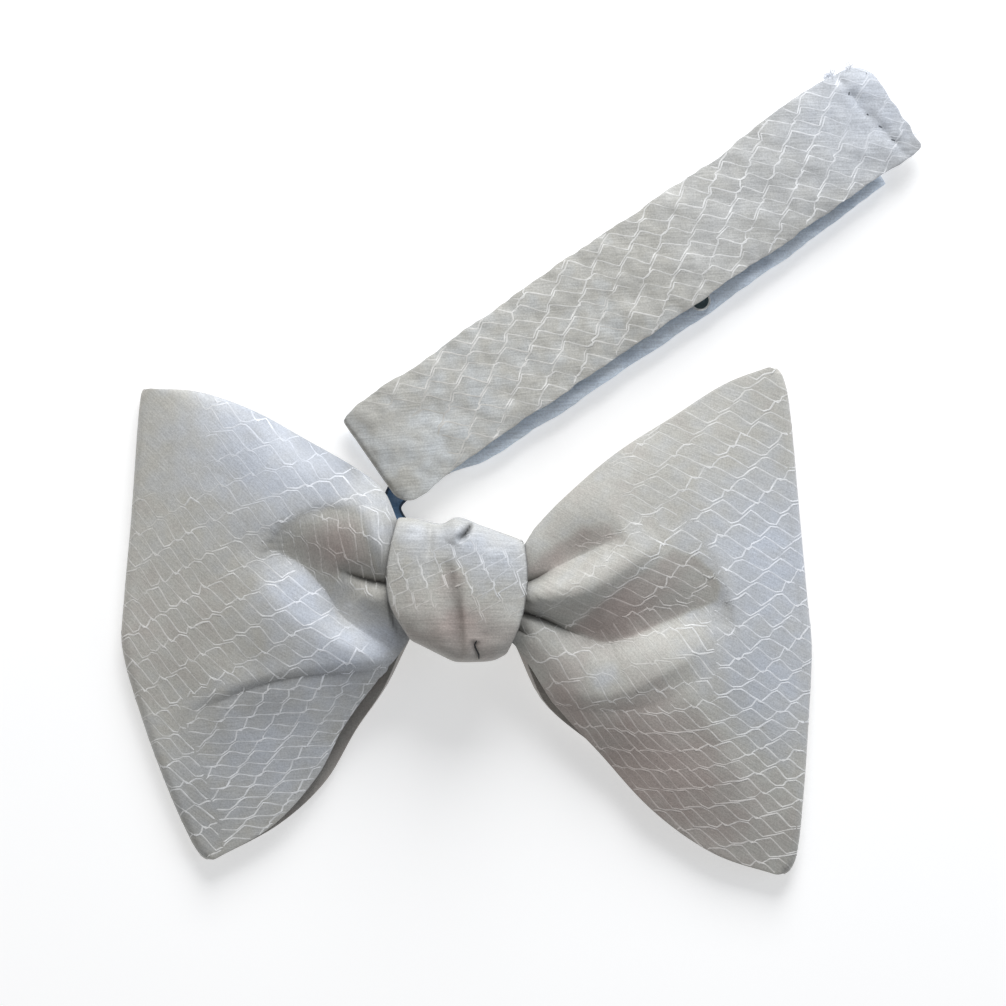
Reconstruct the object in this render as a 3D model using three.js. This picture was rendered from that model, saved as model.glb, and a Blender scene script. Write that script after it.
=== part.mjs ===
import * as THREE from "three";

// A butterfly bow tie that lies on its back, with its neck band folded up beside it.
// Lengths are millimetres: X runs along the bow, Y across it towards the band, Z up from the surface
// below. Zero of the layout is the middle of the knot. The whole is centred over its own box at the end.

// Cloth walls, and the air left between layers that lie on each other
const WING_CLOTH = 1.6;
const KNOT_CLOTH = 1.6;
const BAND_CLOTH = 1.5;
const LAYER_GAP = 0.4;

// Lowest point of the wings' cloth over the surface
const WING_REST = 0.05;

// Steps of the modelled cloth
const FRONT_STEPS = 22;
const FOLD_STEPS = 5;
const BACK_STEPS = 11;
const ACROSS_STEPS = 18;
const KNOT_ROUND_STEPS = 36;
const KNOT_ACROSS_STEPS = 10;
const BAND_RUN_STEPS = 20;
const BAND_FOLD_STEPS = 4;
const BAND_ACROSS_STEPS = 6;
const STROKE_STEPS = 24;

// Wings: one row for each section from the middle of the knot (at 0) to the outer fold (at 1).
// Front ply: upper edge, lower edge, height of its crown, of its upper edge and of its lower edge.
const LEFT_FRONT = [
  { at: 0.0, upX: -0.4, upY: 9.5, lowX: -0.4, lowY: -8.8, crown: 16.5, upZ: 13.5, lowZ: 13.0 },
  { at: 0.16, upX: -12.6, upY: 11.0, lowX: -8.2, lowY: -7.8, crown: 15.4, upZ: 12.6, lowZ: 12.2 },
  { at: 0.3, upX: -21.8, upY: 24.4, lowX: -18.6, lowY: -21.4, crown: 17.5, upZ: 11.0, lowZ: 9.0 },
  { at: 0.45, upX: -33.6, upY: 31.9, lowX: -25.6, lowY: -30.8, crown: 16.5, upZ: 9.5, lowZ: 8.0 },
  { at: 0.62, upX: -45.4, upY: 38.2, lowX: -31.6, lowY: -41.6, crown: 13.5, upZ: 8.0, lowZ: 7.0 },
  { at: 0.8, upX: -57.6, upY: 42.5, lowX: -41.4, lowY: -52.2, crown: 9.5, upZ: 6.5, lowZ: 6.0 },
  { at: 1.0, upX: -69.4, upY: 43.9, lowX: -55.0, lowY: -60.0, crown: 6.0, upZ: 5.2, lowZ: 5.0 },
];

const RIGHT_FRONT = [
  { at: 0.0, upX: 0.4, upY: 8.6, lowX: 0.4, lowY: -9.6, crown: 16.5, upZ: 13.5, lowZ: 13.0 },
  { at: 0.16, upX: 14.0, upY: 6.6, lowX: 12.0, lowY: -10.0, crown: 15.6, upZ: 12.6, lowZ: 12.0 },
  { at: 0.3, upX: 24.4, upY: 19.4, lowX: 22.4, lowY: -24.2, crown: 17.5, upZ: 11.0, lowZ: 9.0 },
  { at: 0.45, upX: 35.8, upY: 29.2, lowX: 32.6, lowY: -35.6, crown: 16.5, upZ: 9.5, lowZ: 8.0 },
  { at: 0.62, upX: 47.8, upY: 36.5, lowX: 44.4, lowY: -48.4, crown: 13.5, upZ: 8.0, lowZ: 7.0 },
  { at: 0.8, upX: 60.2, upY: 44.4, lowX: 58.0, lowY: -58.2, crown: 9.5, upZ: 6.5, lowZ: 6.0 },
  { at: 1.0, upX: 71.4, upY: 48.8, lowX: 72.8, lowY: -63.4, crown: 6.0, upZ: 5.2, lowZ: 5.0 },
];

// Back ply: it lies on the surface and rises to the knot
const LEFT_BACK = [
  { at: 0.0, upX: -0.4, upY: 8.8, lowX: -0.4, lowY: -8.2, crown: 6.8, upZ: 8.8, lowZ: 8.8 },
  { at: 0.16, upX: -12.4, upY: 10.4, lowX: -8.2, lowY: -7.0, crown: 8.4, upZ: 9.8, lowZ: 9.6 },
  { at: 0.3, upX: -21.6, upY: 22.6, lowX: -15.8, lowY: -21.8, crown: 4.6, upZ: 4.8, lowZ: 3.6 },
  { at: 0.45, upX: -33.6, upY: 30.6, lowX: -22.4, lowY: -31.2, crown: 1.6, upZ: 2.4, lowZ: 1.4 },
  { at: 0.62, upX: -45.4, upY: 37.2, lowX: -29.6, lowY: -42.8, crown: 1.0, upZ: 1.2, lowZ: 1.0 },
  { at: 0.8, upX: -57.6, upY: 41.8, lowX: -40.2, lowY: -52.2, crown: 0.85, upZ: 0.85, lowZ: 0.85 },
  { at: 1.0, upX: -69.4, upY: 43.9, lowX: -55.0, lowY: -60.0, crown: 0.85, upZ: 0.85, lowZ: 0.85 },
];

const RIGHT_BACK = [
  { at: 0.0, upX: 0.4, upY: 8.0, lowX: 0.4, lowY: -8.8, crown: 6.8, upZ: 8.8, lowZ: 8.8 },
  { at: 0.16, upX: 14.0, upY: 5.6, lowX: 11.6, lowY: -9.0, crown: 7.8, upZ: 9.5, lowZ: 9.5 },
  { at: 0.3, upX: 24.6, upY: 17.8, lowX: 19.4, lowY: -25.0, crown: 4.2, upZ: 4.2, lowZ: 3.6 },
  { at: 0.45, upX: 36.4, upY: 27.8, lowX: 32.0, lowY: -35.8, crown: 1.6, upZ: 2.0, lowZ: 1.4 },
  { at: 0.62, upX: 48.2, upY: 35.4, lowX: 44.4, lowY: -47.6, crown: 1.0, upZ: 1.2, lowZ: 1.0 },
  { at: 0.8, upX: 60.4, upY: 43.6, lowX: 58.0, lowY: -57.6, crown: 0.85, upZ: 0.85, lowZ: 0.85 },
  { at: 1.0, upX: 71.4, upY: 48.8, lowX: 72.8, lowY: -63.4, crown: 0.85, upZ: 0.85, lowZ: 0.85 },
];

// How far each outer fold bows out of the straight line between its corners, from the upper corner (0)
// to the lower one (1)
const OUTER_BOW = [
  { at: 0.0, left: 0.0, right: 0.0 },
  { at: 0.06, left: 1.6, right: 1.8 },
  { at: 0.28, left: 6.4, right: 3.9 },
  { at: 0.45, left: 10.6, right: 5.4 },
  { at: 0.55, left: 12.2, right: 6.3 },
  { at: 0.7, left: 10.6, right: 5.4 },
  { at: 0.85, left: 7.0, right: 4.0 },
  { at: 0.96, left: 2.8, right: 2.4 },
  { at: 1.0, left: 0.6, right: 0.4 },
];

// Folds of the front plies: a bent line from one place by another to a third, its rise at both ends,
// which is below zero for a valley, and its half width there
const LEFT_FOLDS = [
  { name: "pocket", from: [-11, 2], by: [-22, 8], to: [-37, 12], rise: [-5.5, -3.5], width: [3.2, 5] },
  { name: "pocket lip", from: [-15, 15], by: [-27, 23], to: [-43, 20], rise: [1, 1.5], width: [4, 7] },
  { name: "knot ridge", from: [-14, -12], by: [-26, -6], to: [-42, 6], rise: [2.2, 1.8], width: [3.5, 6] },
  { name: "long ridge", from: [-16, -14], by: [-38, -17], to: [-60, -23], rise: [1.6, 1], width: [3.5, 6] },
  { name: "low valley", from: [-15, -21], by: [-36, -24], to: [-56, -31], rise: [-1.4, -1.6], width: [3.5, 6] },
];

const RIGHT_FOLDS = [
  { name: "upper valley", from: [11, 1], by: [24, 5.5], to: [37, 12], rise: [-4.2, -2.6], width: [2.8, 4.2] },
  { name: "upper ridge", from: [13, -1.5], by: [29, 0.5], to: [46, 11], rise: [1.8, 1.6], width: [2.8, 5] },
  { name: "middle valley", from: [11, -4], by: [31, -9], to: [55, 4], rise: [-5.2, -2.2], width: [2.8, 5] },
  { name: "lower ridge", from: [13, -10], by: [35, -20], to: [55, -7], rise: [2.2, 1.6], width: [3, 6] },
  { name: "lower valley", from: [20, -24], by: [38, -29], to: [58, -27], rise: [-1.6, -1.6], width: [4, 8] },
];

// Knot: outline seen from above, one row for each section from its left rim (0) to its right rim (1)
const KNOT_SECTIONS = [
  { at: 0.0, top: 15.0, bottom: -11.2, peak: 19.6 },
  { at: 0.15, top: 15.3, bottom: -12.8, peak: 21.4 },
  { at: 0.35, top: 14.6, bottom: -15.0, peak: 22.4 },
  { at: 0.5, top: 14.9, bottom: -16.0, peak: 22.6 },
  { at: 0.65, top: 13.9, bottom: -16.1, peak: 22.3 },
  { at: 0.85, top: 12.1, bottom: -15.6, peak: 21.2 },
  { at: 1.0, top: 10.2, bottom: -14.0, peak: 19.4 },
];

// Its two rims, from its lower end (0) to its upper end (1)
const KNOT_RIMS = [
  { at: 0.0, left: -8.6, right: 11.6 },
  { at: 0.25, left: -12.8, right: 14.2 },
  { at: 0.5, left: -15.3, right: 15.5 },
  { at: 0.75, left: -14.6, right: 15.8 },
  { at: 1.0, left: -13.0, right: 15.2 },
];
const KNOT_SQUARENESS = 3;

const KNOT_FOLDS = [
  { name: "crease", from: [-1.5, 5], by: [0.6, -4], to: [1.4, -15], rise: [-1.2, -1.5], width: [1.6, 1.8] },
  { name: "dent", from: [-5, 14], by: [-5.6, 9], to: [-6.8, 4], rise: [-0.9, -0.5], width: [1.6, 1.8] },
];

// Neck band: its line leaves the fold beside the knot at this angle
const BAND_START = { x: -17.9, y: 28.1 };
const BAND_ANGLE = THREE.MathUtils.degToRad(34.8);

// Heights of the middle of each run's cloth
const BOTTOM_RUN_Z = BAND_CLOTH / 2;
const MIDDLE_RUN_Z = BOTTOM_RUN_Z + BAND_CLOTH + LAYER_GAP;
const TOP_RUN_Z = MIDDLE_RUN_Z + BAND_CLOTH + LAYER_GAP + 0.9;

// Runs of the band: distance along its line, and how far its upper and lower edges lie beside that line
const TOP_RUN = [
  { at: 138.6, up: 8.4, low: -12.4, z: TOP_RUN_Z - 0.7 },
  { at: 135.0, up: 11.4, low: -12.2, z: TOP_RUN_Z - 0.5 },
  { at: 129.0, up: 12.1, low: -12.1, z: TOP_RUN_Z - 0.2 },
  { at: 116.0, up: 12.6, low: -12.1, z: TOP_RUN_Z + 0.5 },
  { at: 100.0, up: 11.6, low: -12.1, z: TOP_RUN_Z + 0.2 },
  { at: 79.0, up: 12.0, low: -11.9, z: TOP_RUN_Z + 0.6 },
  { at: 58.0, up: 12.2, low: -11.8, z: TOP_RUN_Z + 0.3 },
  { at: 32.0, up: 12.0, low: -11.4, z: TOP_RUN_Z + 0.6 },
  { at: 9.0, up: 12.5, low: -11.0, z: TOP_RUN_Z + 0.2 },
  { at: 0.6, up: 11.2, low: -10.6, z: TOP_RUN_Z - 0.9 },
];
const MIDDLE_RUN = [
  { at: 0.6, up: 10.8, low: -11.0, z: MIDDLE_RUN_Z },
  { at: 12.0, up: 9.6, low: -13.2, z: MIDDLE_RUN_Z },
  { at: 35.0, up: 9.2, low: -14.6, z: MIDDLE_RUN_Z },
  { at: 75.0, up: 8.8, low: -15.2, z: MIDDLE_RUN_Z },
  { at: 100.0, up: 9.0, low: -15.0, z: MIDDLE_RUN_Z },
  { at: 125.6, up: 9.4, low: -14.2, z: MIDDLE_RUN_Z },
];
// The lowest run narrows to a gathered root, which bends off under the knot: its own line and width
const BOTTOM_RUN = [
  { at: 0.0, along: 125.6, beside: -2.4, width: 23.6 },
  { at: 0.2, along: 100.0, beside: -2.8, width: 23.6 },
  { at: 0.55, along: 45.0, beside: -2.6, width: 23.0 },
  { at: 0.7, along: 22.0, beside: -5.0, width: 16.0 },
  { at: 0.8, along: 8.0, beside: -8.4, width: 8.0 },
  { at: 0.86, along: 0.4, beside: -10.2, width: 4.8 },
  { at: 0.91, along: -2.6, beside: -14.6, width: 4.2 },
  { at: 0.95, along: -2.0, beside: -21.0, width: 5.0 },
  { at: 1.0, along: -2.0, beside: -28.0, width: 7.0 },
];

// Press stud on the middle run, half under the top run's lower edge
const STUD = { along: 79.0, beside: -12.0, radius: 2.3, height: 1.1, rim: 0.35, dome: 1.1 };
const STUD_SIDES = 32;

// A value between the rows of a table, on a smooth curve through one of its columns
function onCurve(rows, column, at) {
  let row = 0;
  const rising = rows[rows.length - 1].at > rows[0].at;
  while (row < rows.length - 2 && (rising ? at > rows[row + 1].at : at < rows[row + 1].at)) {
    row += 1;
  }
  const slope = (index) => {
    const before = rows[Math.max(index - 1, 0)];
    const after = rows[Math.min(index + 1, rows.length - 1)];
    return (after[column] - before[column]) / (after.at - before.at);
  };
  const span = rows[row + 1].at - rows[row].at;
  const t = THREE.MathUtils.clamp((at - rows[row].at) / span, 0, 1);
  const start = rows[row][column] * (1 + 2 * t) * (1 - t) ** 2 + slope(row) * span * t * (1 - t) ** 2;
  const end = rows[row + 1][column] * (3 - 2 * t) * t ** 2 - slope(row + 1) * span * (1 - t) * t ** 2;
  return start + end;
}

// Height that the folds add at a place, each one a soft stroke along its bent line
function foldHeight(folds, x, y) {
  let height = 0;
  for (const fold of folds) {
    const [start, middle, end] = [fold.from, fold.by, fold.to].map((place) => new THREE.Vector2(...place));
    const length = start.distanceTo(middle) + middle.distanceTo(end);
    const bend = middle.multiplyScalar(2).sub(start.clone().add(end).multiplyScalar(0.5));
    const line = new THREE.QuadraticBezierCurve(start, bend, end);
    for (let step = 0; step < STROKE_STEPS; step += 1) {
      const t = (step + 0.5) / STROKE_STEPS;
      const width = THREE.MathUtils.lerp(...fold.width, t);
      const rise = THREE.MathUtils.lerp(...fold.rise, t);
      const away = line.getPoint(t).distanceTo(new THREE.Vector2(x, y)) / width;
      height += rise * Math.exp(-away * away) * length / STROKE_STEPS / (width * Math.sqrt(Math.PI));
    }
  }
  return height;
}

// A closed body from loops of points. Each loop goes along the wall's outer face and back along its
// inner face, so an open body's two ends are closed by strips between the two faces.
function bodyFromLoops(loops, ring) {
  const points = loops[0].length;
  const corner = (loop, point) => (loop % loops.length) * points + (point % points);
  const faces = [];
  const addFace = (a, b, c, d) => faces.push(a, b, c, a, c, d);
  const spans = ring ? loops.length : loops.length - 1;
  for (let loop = 0; loop < spans; loop += 1) {
    for (let point = 0; point < points; point += 1) {
      const next = point + 1;
      addFace(corner(loop, point), corner(loop, next), corner(loop + 1, next), corner(loop + 1, point));
    }
  }
  if (!ring) {
    const last = loops.length - 1;
    for (let point = 0; point < points / 2 - 1; point += 1) {
      const back = points - 1 - point;
      addFace(corner(0, point), corner(0, back), corner(0, back - 1), corner(0, point + 1));
      addFace(corner(last, point), corner(last, point + 1), corner(last, back - 1), corner(last, back));
    }
  }
  const vertices = loops.flat();
  let volume = 0;
  for (let face = 0; face < faces.length; face += 3) {
    const [a, b, c] = [vertices[faces[face]], vertices[faces[face + 1]], vertices[faces[face + 2]]];
    volume += a.dot(b.clone().cross(c));
  }
  if (volume < 0) {
    faces.reverse();
  }
  const geometry = new THREE.BufferGeometry();
  const numbers = vertices.flatMap((vertex) => vertex.toArray());
  geometry.setAttribute("position", new THREE.Float32BufferAttribute(numbers, 3));
  geometry.setIndex(faces);
  return geometry;
}

// A cloth wall of even thickness about a sheet, which is given as rows of points
function clothWall(sheet, thickness) {
  const normalAt = (row, column) => {
    const along = sheet[Math.min(row + 1, sheet.length - 1)][column].clone();
    along.sub(sheet[Math.max(row - 1, 0)][column]);
    const across = sheet[row][Math.min(column + 1, sheet[row].length - 1)].clone();
    across.sub(sheet[row][Math.max(column - 1, 0)]);
    return along.cross(across).normalize();
  };
  const loops = sheet.map((points, row) => {
    const face = (side) => points.map((point, column) => {
      return point.clone().addScaledVector(normalAt(row, column), side * thickness / 2);
    });
    return [...face(1), ...face(-1).reverse()];
  });
  return bodyFromLoops(loops, false);
}

// A point of a wing's ply: from the knot (0) to the outer fold (1), and from the upper edge (0) to the
// lower edge (1). Its last part is drawn in by the fold's own radius.
function plyPoint(rows, side, from, down) {
  const upper = new THREE.Vector2(onCurve(rows, "upX", from), onCurve(rows, "upY", from));
  const lower = new THREE.Vector2(onCurve(rows, "lowX", from), onCurve(rows, "lowY", from));
  const place = upper.lerp(lower, down);
  const sign = side === "left" ? -1 : 1;
  place.x += sign * onCurve(OUTER_BOW, side, down) * from ** 3;
  const edge = THREE.MathUtils.lerp(onCurve(rows, "upZ", from), onCurve(rows, "lowZ", from), down);
  const crown = onCurve(rows, "crown", from);
  const height = edge + (crown - edge) * (1 - Math.abs(2 * down - 1) ** 2.2);
  return new THREE.Vector3(place.x, place.y, height);
}

// Wing: the front ply, the outer fold and the back ply are one sheet
function wingSheet(side, front, back, folds) {
  const sign = side === "left" ? -1 : 1;
  const steps = (count) => Array.from({ length: count + 1 }, (_, step) => step / count);
  const foldRadius = (down) => {
    const gap = plyPoint(front, side, 1, down).z - plyPoint(back, side, 1, down).z;
    return gap / 2;
  };
  const drawnIn = (point, from, down) => {
    point.x -= sign * (foldRadius(down) + WING_CLOTH / 2) * from ** 2;
    return point;
  };
  const frontRows = steps(FRONT_STEPS).map((from) => steps(ACROSS_STEPS).map((down) => {
    const point = drawnIn(plyPoint(front, side, from, down), from, down);
    const fade = 1 - THREE.MathUtils.smoothstep(from, 0.8, 1);
    point.z += foldHeight(folds, point.x, point.y) * fade;
    return point;
  }));
  const foldRows = steps(FOLD_STEPS).slice(1, -1).map((turn) => steps(ACROSS_STEPS).map((down) => {
    const point = drawnIn(plyPoint(back, side, 1, down), 1, down);
    const radius = foldRadius(down);
    point.x += sign * radius * Math.sin(turn * Math.PI);
    point.z += radius * (1 + Math.cos(turn * Math.PI));
    return point;
  }));
  const backRows = steps(BACK_STEPS).reverse().map((from) => steps(ACROSS_STEPS).map((down) => {
    const point = drawnIn(plyPoint(back, side, from, down), from, down);
    point.z += WING_REST;
    return point;
  }));
  return [...frontRows, ...foldRows, ...backRows];
}

// Knot: a hollow wrap round the necks of both wings, open at its left and right rims
function knotLoops() {
  const floor = BAND_CLOTH + LAYER_GAP;
  const surfacePoint = (across, turn, inset) => {
    const top = onCurve(KNOT_SECTIONS, "top", across) - inset;
    const bottom = onCurve(KNOT_SECTIONS, "bottom", across) + inset;
    const peak = onCurve(KNOT_SECTIONS, "peak", across) - inset;
    const squared = (value) => Math.sign(value) * Math.abs(value) ** (2 / KNOT_SQUARENESS);
    const up = (1 + squared(Math.cos(turn))) / 2;
    const out = (1 + squared(Math.sin(turn))) / 2;
    const left = onCurve(KNOT_RIMS, "left", up);
    const right = onCurve(KNOT_RIMS, "right", up);
    const rimLift = 0.8 * Math.abs(2 * across - 1) ** 4;
    const x = THREE.MathUtils.lerp(left, right, across);
    const y = THREE.MathUtils.lerp(bottom, top, up);
    const z = THREE.MathUtils.lerp(floor + rimLift + inset, peak, out);
    return new THREE.Vector3(x, y, z + foldHeight(KNOT_FOLDS, x, y) * out ** 2);
  };
  return Array.from({ length: KNOT_ROUND_STEPS }, (_, step) => {
    const turn = (step / KNOT_ROUND_STEPS) * Math.PI * 2;
    const face = (inset) => Array.from({ length: KNOT_ACROSS_STEPS + 1 }, (_unused, column) => {
      return surfacePoint(column / KNOT_ACROSS_STEPS, turn, inset);
    });
    return [...face(0), ...face(KNOT_CLOTH).reverse()];
  });
}

// Neck band: three runs on each other and the root that goes under the knot, one ribbon
function bandPoint(along, beside, z) {
  const x = BAND_START.x + along * Math.cos(BAND_ANGLE) - beside * Math.sin(BAND_ANGLE);
  const y = BAND_START.y + along * Math.sin(BAND_ANGLE) + beside * Math.cos(BAND_ANGLE);
  return new THREE.Vector3(x, y, z);
}

function ribbonRow(along, up, low, height) {
  return Array.from({ length: BAND_ACROSS_STEPS + 1 }, (_, step) => {
    const beside = THREE.MathUtils.lerp(up, low, step / BAND_ACROSS_STEPS);
    return bandPoint(along, beside, height);
  });
}

function runRows(rows) {
  return Array.from({ length: BAND_RUN_STEPS + 1 }, (_, step) => {
    const along = THREE.MathUtils.lerp(rows[0].at, rows[rows.length - 1].at, step / BAND_RUN_STEPS);
    const [up, low, z] = ["up", "low", "z"].map((column) => onCurve(rows, column, along));
    return ribbonRow(along, up, low, z);
  });
}

function turnRows(upper, lower, sign) {
  const radius = (upper.z - lower.z) / 2;
  return Array.from({ length: BAND_FOLD_STEPS - 1 }, (_, step) => {
    const turn = (step + 1) / BAND_FOLD_STEPS;
    const along = upper.along + sign * radius * Math.sin(turn * Math.PI);
    const up = THREE.MathUtils.lerp(upper.up, lower.up, turn);
    const low = THREE.MathUtils.lerp(upper.low, lower.low, turn);
    return ribbonRow(along, up, low, lower.z + radius * (1 + Math.cos(turn * Math.PI)));
  });
}

function bottomRows() {
  const centre = (at) => {
    return bandPoint(onCurve(BOTTOM_RUN, "along", at), onCurve(BOTTOM_RUN, "beside", at), BOTTOM_RUN_Z);
  };
  const steps = 2 * BAND_RUN_STEPS;
  return Array.from({ length: steps + 1 }, (_, step) => {
    const at = step / steps;
    const heading = centre(Math.min(at + 0.01, 1)).sub(centre(Math.max(at - 0.01, 0))).normalize();
    const side = new THREE.Vector3(heading.y, -heading.x, 0);
    const width = onCurve(BOTTOM_RUN, "width", at);
    return Array.from({ length: BAND_ACROSS_STEPS + 1 }, (_unused, column) => {
      return centre(at).addScaledVector(side, width * (0.5 - column / BAND_ACROSS_STEPS));
    });
  });
}

function bandSheet() {
  const edges = (row) => ({ along: row.at, up: row.up, low: row.low, z: row.z });
  const lastRow = (rows) => rows[rows.length - 1];
  const middleEnd = edges(lastRow(MIDDLE_RUN));
  const start = BOTTOM_RUN[0];
  const bottomStart = {
    along: start.along,
    up: start.beside + start.width / 2,
    low: start.beside - start.width / 2,
    z: BOTTOM_RUN_Z,
  };
  return [
    ...runRows(TOP_RUN),
    ...turnRows(edges(lastRow(TOP_RUN)), edges(MIDDLE_RUN[0]), -1),
    ...runRows(MIDDLE_RUN),
    ...turnRows(middleEnd, bottomStart, 1),
    ...bottomRows(),
  ];
}

// Press stud: a low disc with a raised rim and a small dome
function studGeometry() {
  const { radius, height, rim, dome } = STUD;
  const profile = [
    [0, 0],
    [radius - 0.2, 0],
    [radius, 0.25],
    [radius, height - rim],
    [radius - 0.3, height - 0.1],
    [radius - 0.7, height - rim],
    [dome, height - rim],
    [dome * 0.6, height - 0.1],
    [0, height],
  ].map(([across, up]) => new THREE.Vector2(across, up));
  const geometry = new THREE.LatheGeometry(profile, STUD_SIDES);
  geometry.rotateX(Math.PI / 2);
  return geometry;
}

const satin = (color, roughness) => new THREE.MeshStandardMaterial({ color, roughness, metalness: 0 });

function namedMesh(name, geometry, material) {
  const mesh = new THREE.Mesh(geometry, material);
  mesh.name = name;
  return mesh;
}

const leftSheet = wingSheet("left", LEFT_FRONT, LEFT_BACK, LEFT_FOLDS);
const rightSheet = wingSheet("right", RIGHT_FRONT, RIGHT_BACK, RIGHT_FOLDS);
const stud = namedMesh("snap_stud", studGeometry(), new THREE.MeshStandardMaterial({
  color: 0x3c4b50,
  roughness: 0.35,
  metalness: 0.9,
}));
stud.position.copy(bandPoint(STUD.along, STUD.beside, MIDDLE_RUN_Z + BAND_CLOTH / 2 + 0.3));

const bowTie = new THREE.Group();
bowTie.add(
  namedMesh("left_wing", clothWall(leftSheet, WING_CLOTH), satin(0xb9bcbe, 0.5)),
  namedMesh("right_wing", clothWall(rightSheet, WING_CLOTH), satin(0xb5b6b4, 0.5)),
  namedMesh("knot", bodyFromLoops(knotLoops(), true), satin(0xb4b4b0, 0.5)),
  namedMesh("neck_band", clothWall(bandSheet(), BAND_CLOTH), satin(0xb7b9ba, 0.55)),
  stud,
);

// The origin is the middle of the whole object's box, on the surface that it lies on
const box = new THREE.Box3().setFromObject(bowTie);
const middle = box.getCenter(new THREE.Vector3());
bowTie.position.set(-middle.x, -middle.y, -box.min.z);
bowTie.updateMatrixWorld(true);

export default bowTie;
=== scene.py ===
"""A silver-grey satin butterfly bow tie, tied and laid on its back, its neck band folded up beside it."""
from collections import namedtuple

import bpy
import numpy as np
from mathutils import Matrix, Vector
from mathutils.kdtree import KDTree


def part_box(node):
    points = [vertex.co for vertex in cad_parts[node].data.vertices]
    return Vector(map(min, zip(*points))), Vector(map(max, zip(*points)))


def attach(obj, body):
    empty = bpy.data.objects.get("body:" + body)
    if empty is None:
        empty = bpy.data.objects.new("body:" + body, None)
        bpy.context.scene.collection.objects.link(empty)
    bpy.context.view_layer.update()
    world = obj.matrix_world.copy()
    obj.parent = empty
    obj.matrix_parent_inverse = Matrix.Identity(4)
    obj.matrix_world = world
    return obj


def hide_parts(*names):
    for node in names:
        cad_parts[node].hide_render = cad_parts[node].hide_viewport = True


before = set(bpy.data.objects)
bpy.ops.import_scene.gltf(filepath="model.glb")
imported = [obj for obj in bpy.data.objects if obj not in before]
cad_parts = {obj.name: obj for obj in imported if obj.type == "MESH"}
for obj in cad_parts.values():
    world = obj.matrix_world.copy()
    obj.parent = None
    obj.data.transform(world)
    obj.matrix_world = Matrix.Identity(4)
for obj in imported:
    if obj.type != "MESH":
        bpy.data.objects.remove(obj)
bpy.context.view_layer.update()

# Layout lengths are millimetres: X along the bow, Y across it towards the band, Z up from the surface.
# Zero of the layout is the middle of the knot. The press stud's own place ties the layout to the frame.
MM = 0.001
STUD_PLACE = (53.82, 63.33)

# Cloth walls
WING_CLOTH = 1.6
KNOT_CLOTH = 1.5
BAND_CLOTH = 1.5
LAYER_GAP = 0.4
WING_REST = 0.05
RIM_ROUNDING = 0.45
RIM_ANGLE = np.radians(62)
WEAVE_SCALE = 10

# Steps of the cloth grids
FRONT_STEPS = 150
FOLD_STEPS = 10
BACK_STEPS = 44
WING_ACROSS_STEPS = 150
KNOT_ROUND_STEPS = 190
KNOT_ACROSS_STEPS = 70
TOP_RUN_STEPS = 250
LOWER_RUN_STEPS = 70
TURN_STEPS = 8
BAND_ACROSS_STEPS = 44
STROKE_STEPS = 120


def table(columns, *rows):
    """Rows of numbers under named columns, in rising order of the first column."""
    values = np.array(sorted(rows), dtype=float)
    return {name: values[:, index] for index, name in enumerate(columns.split())}


# Wings: one row for each section from the middle of the knot (at 0) to the outer fold (at 1).
# Upper edge, lower edge, heights of crown and of both edges, and how far down the crown lies.
SECTION = "at upX upY lowX lowY crown upZ lowZ ridge"
LEFT_FRONT = table(
    SECTION,
    (0.00, -0.4, 9.5, -0.4, -8.8, 16.5, 13.5, 13.0, 0.50),
    (0.16, -12.2, 12.2, -8.6, -8.6, 15.4, 12.6, 12.2, 0.50),
    (0.22, -16.2, 20.4, -13.0, -14.6, 16.8, 11.6, 10.8, 0.36),
    (0.30, -21.8, 25.2, -18.4, -21.0, 17.0, 10.4, 8.2, 0.28),
    (0.45, -33.6, 31.9, -25.6, -30.8, 16.0, 8.8, 5.4, 0.28),
    (0.62, -45.4, 38.2, -31.6, -41.6, 13.4, 6.8, 4.4, 0.30),
    (0.80, -57.6, 42.5, -41.4, -52.2, 9.4, 5.0, 3.8, 0.31),
    (1.00, -69.4, 43.9, -55.0, -60.0, 4.0, 3.7, 3.6, 0.35),
)
RIGHT_FRONT = table(
    SECTION,
    (0.00, 0.4, 8.6, 0.4, -9.6, 16.5, 13.5, 13.0, 0.50),
    (0.16, 14.2, 8.6, 12.0, -11.4, 15.6, 12.6, 12.0, 0.50),
    (0.22, 18.2, 13.6, 16.2, -16.2, 16.8, 12.0, 10.4, 0.50),
    (0.30, 24.4, 19.8, 22.0, -25.0, 17.2, 11.4, 8.0, 0.48),
    (0.45, 35.8, 29.4, 32.4, -36.2, 16.2, 10.2, 5.6, 0.46),
    (0.62, 47.8, 37.0, 44.4, -49.0, 13.6, 8.2, 4.6, 0.46),
    (0.80, 60.2, 44.6, 58.0, -58.4, 9.8, 6.0, 4.0, 0.46),
    (1.00, 71.4, 48.8, 72.8, -63.4, 4.0, 3.8, 3.6, 0.48),
)
LEFT_BACK = table(
    SECTION,
    (0.00, -0.4, 8.8, -0.4, -8.2, 6.8, 8.8, 8.8, 0.5),
    (0.16, -12.4, 11.2, -8.2, -7.6, 8.4, 9.8, 9.6, 0.5),
    (0.30, -21.6, 22.6, -15.8, -21.8, 4.6, 4.8, 3.6, 0.5),
    (0.45, -33.6, 30.6, -22.4, -31.2, 1.6, 2.4, 1.4, 0.5),
    (0.62, -45.4, 37.2, -29.6, -42.8, 1.0, 1.2, 1.0, 0.5),
    (0.80, -57.6, 41.8, -40.2, -52.2, 0.85, 0.85, 0.85, 0.5),
    (1.00, -69.4, 43.9, -55.0, -60.0, 0.85, 0.85, 0.85, 0.5),
)
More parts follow.
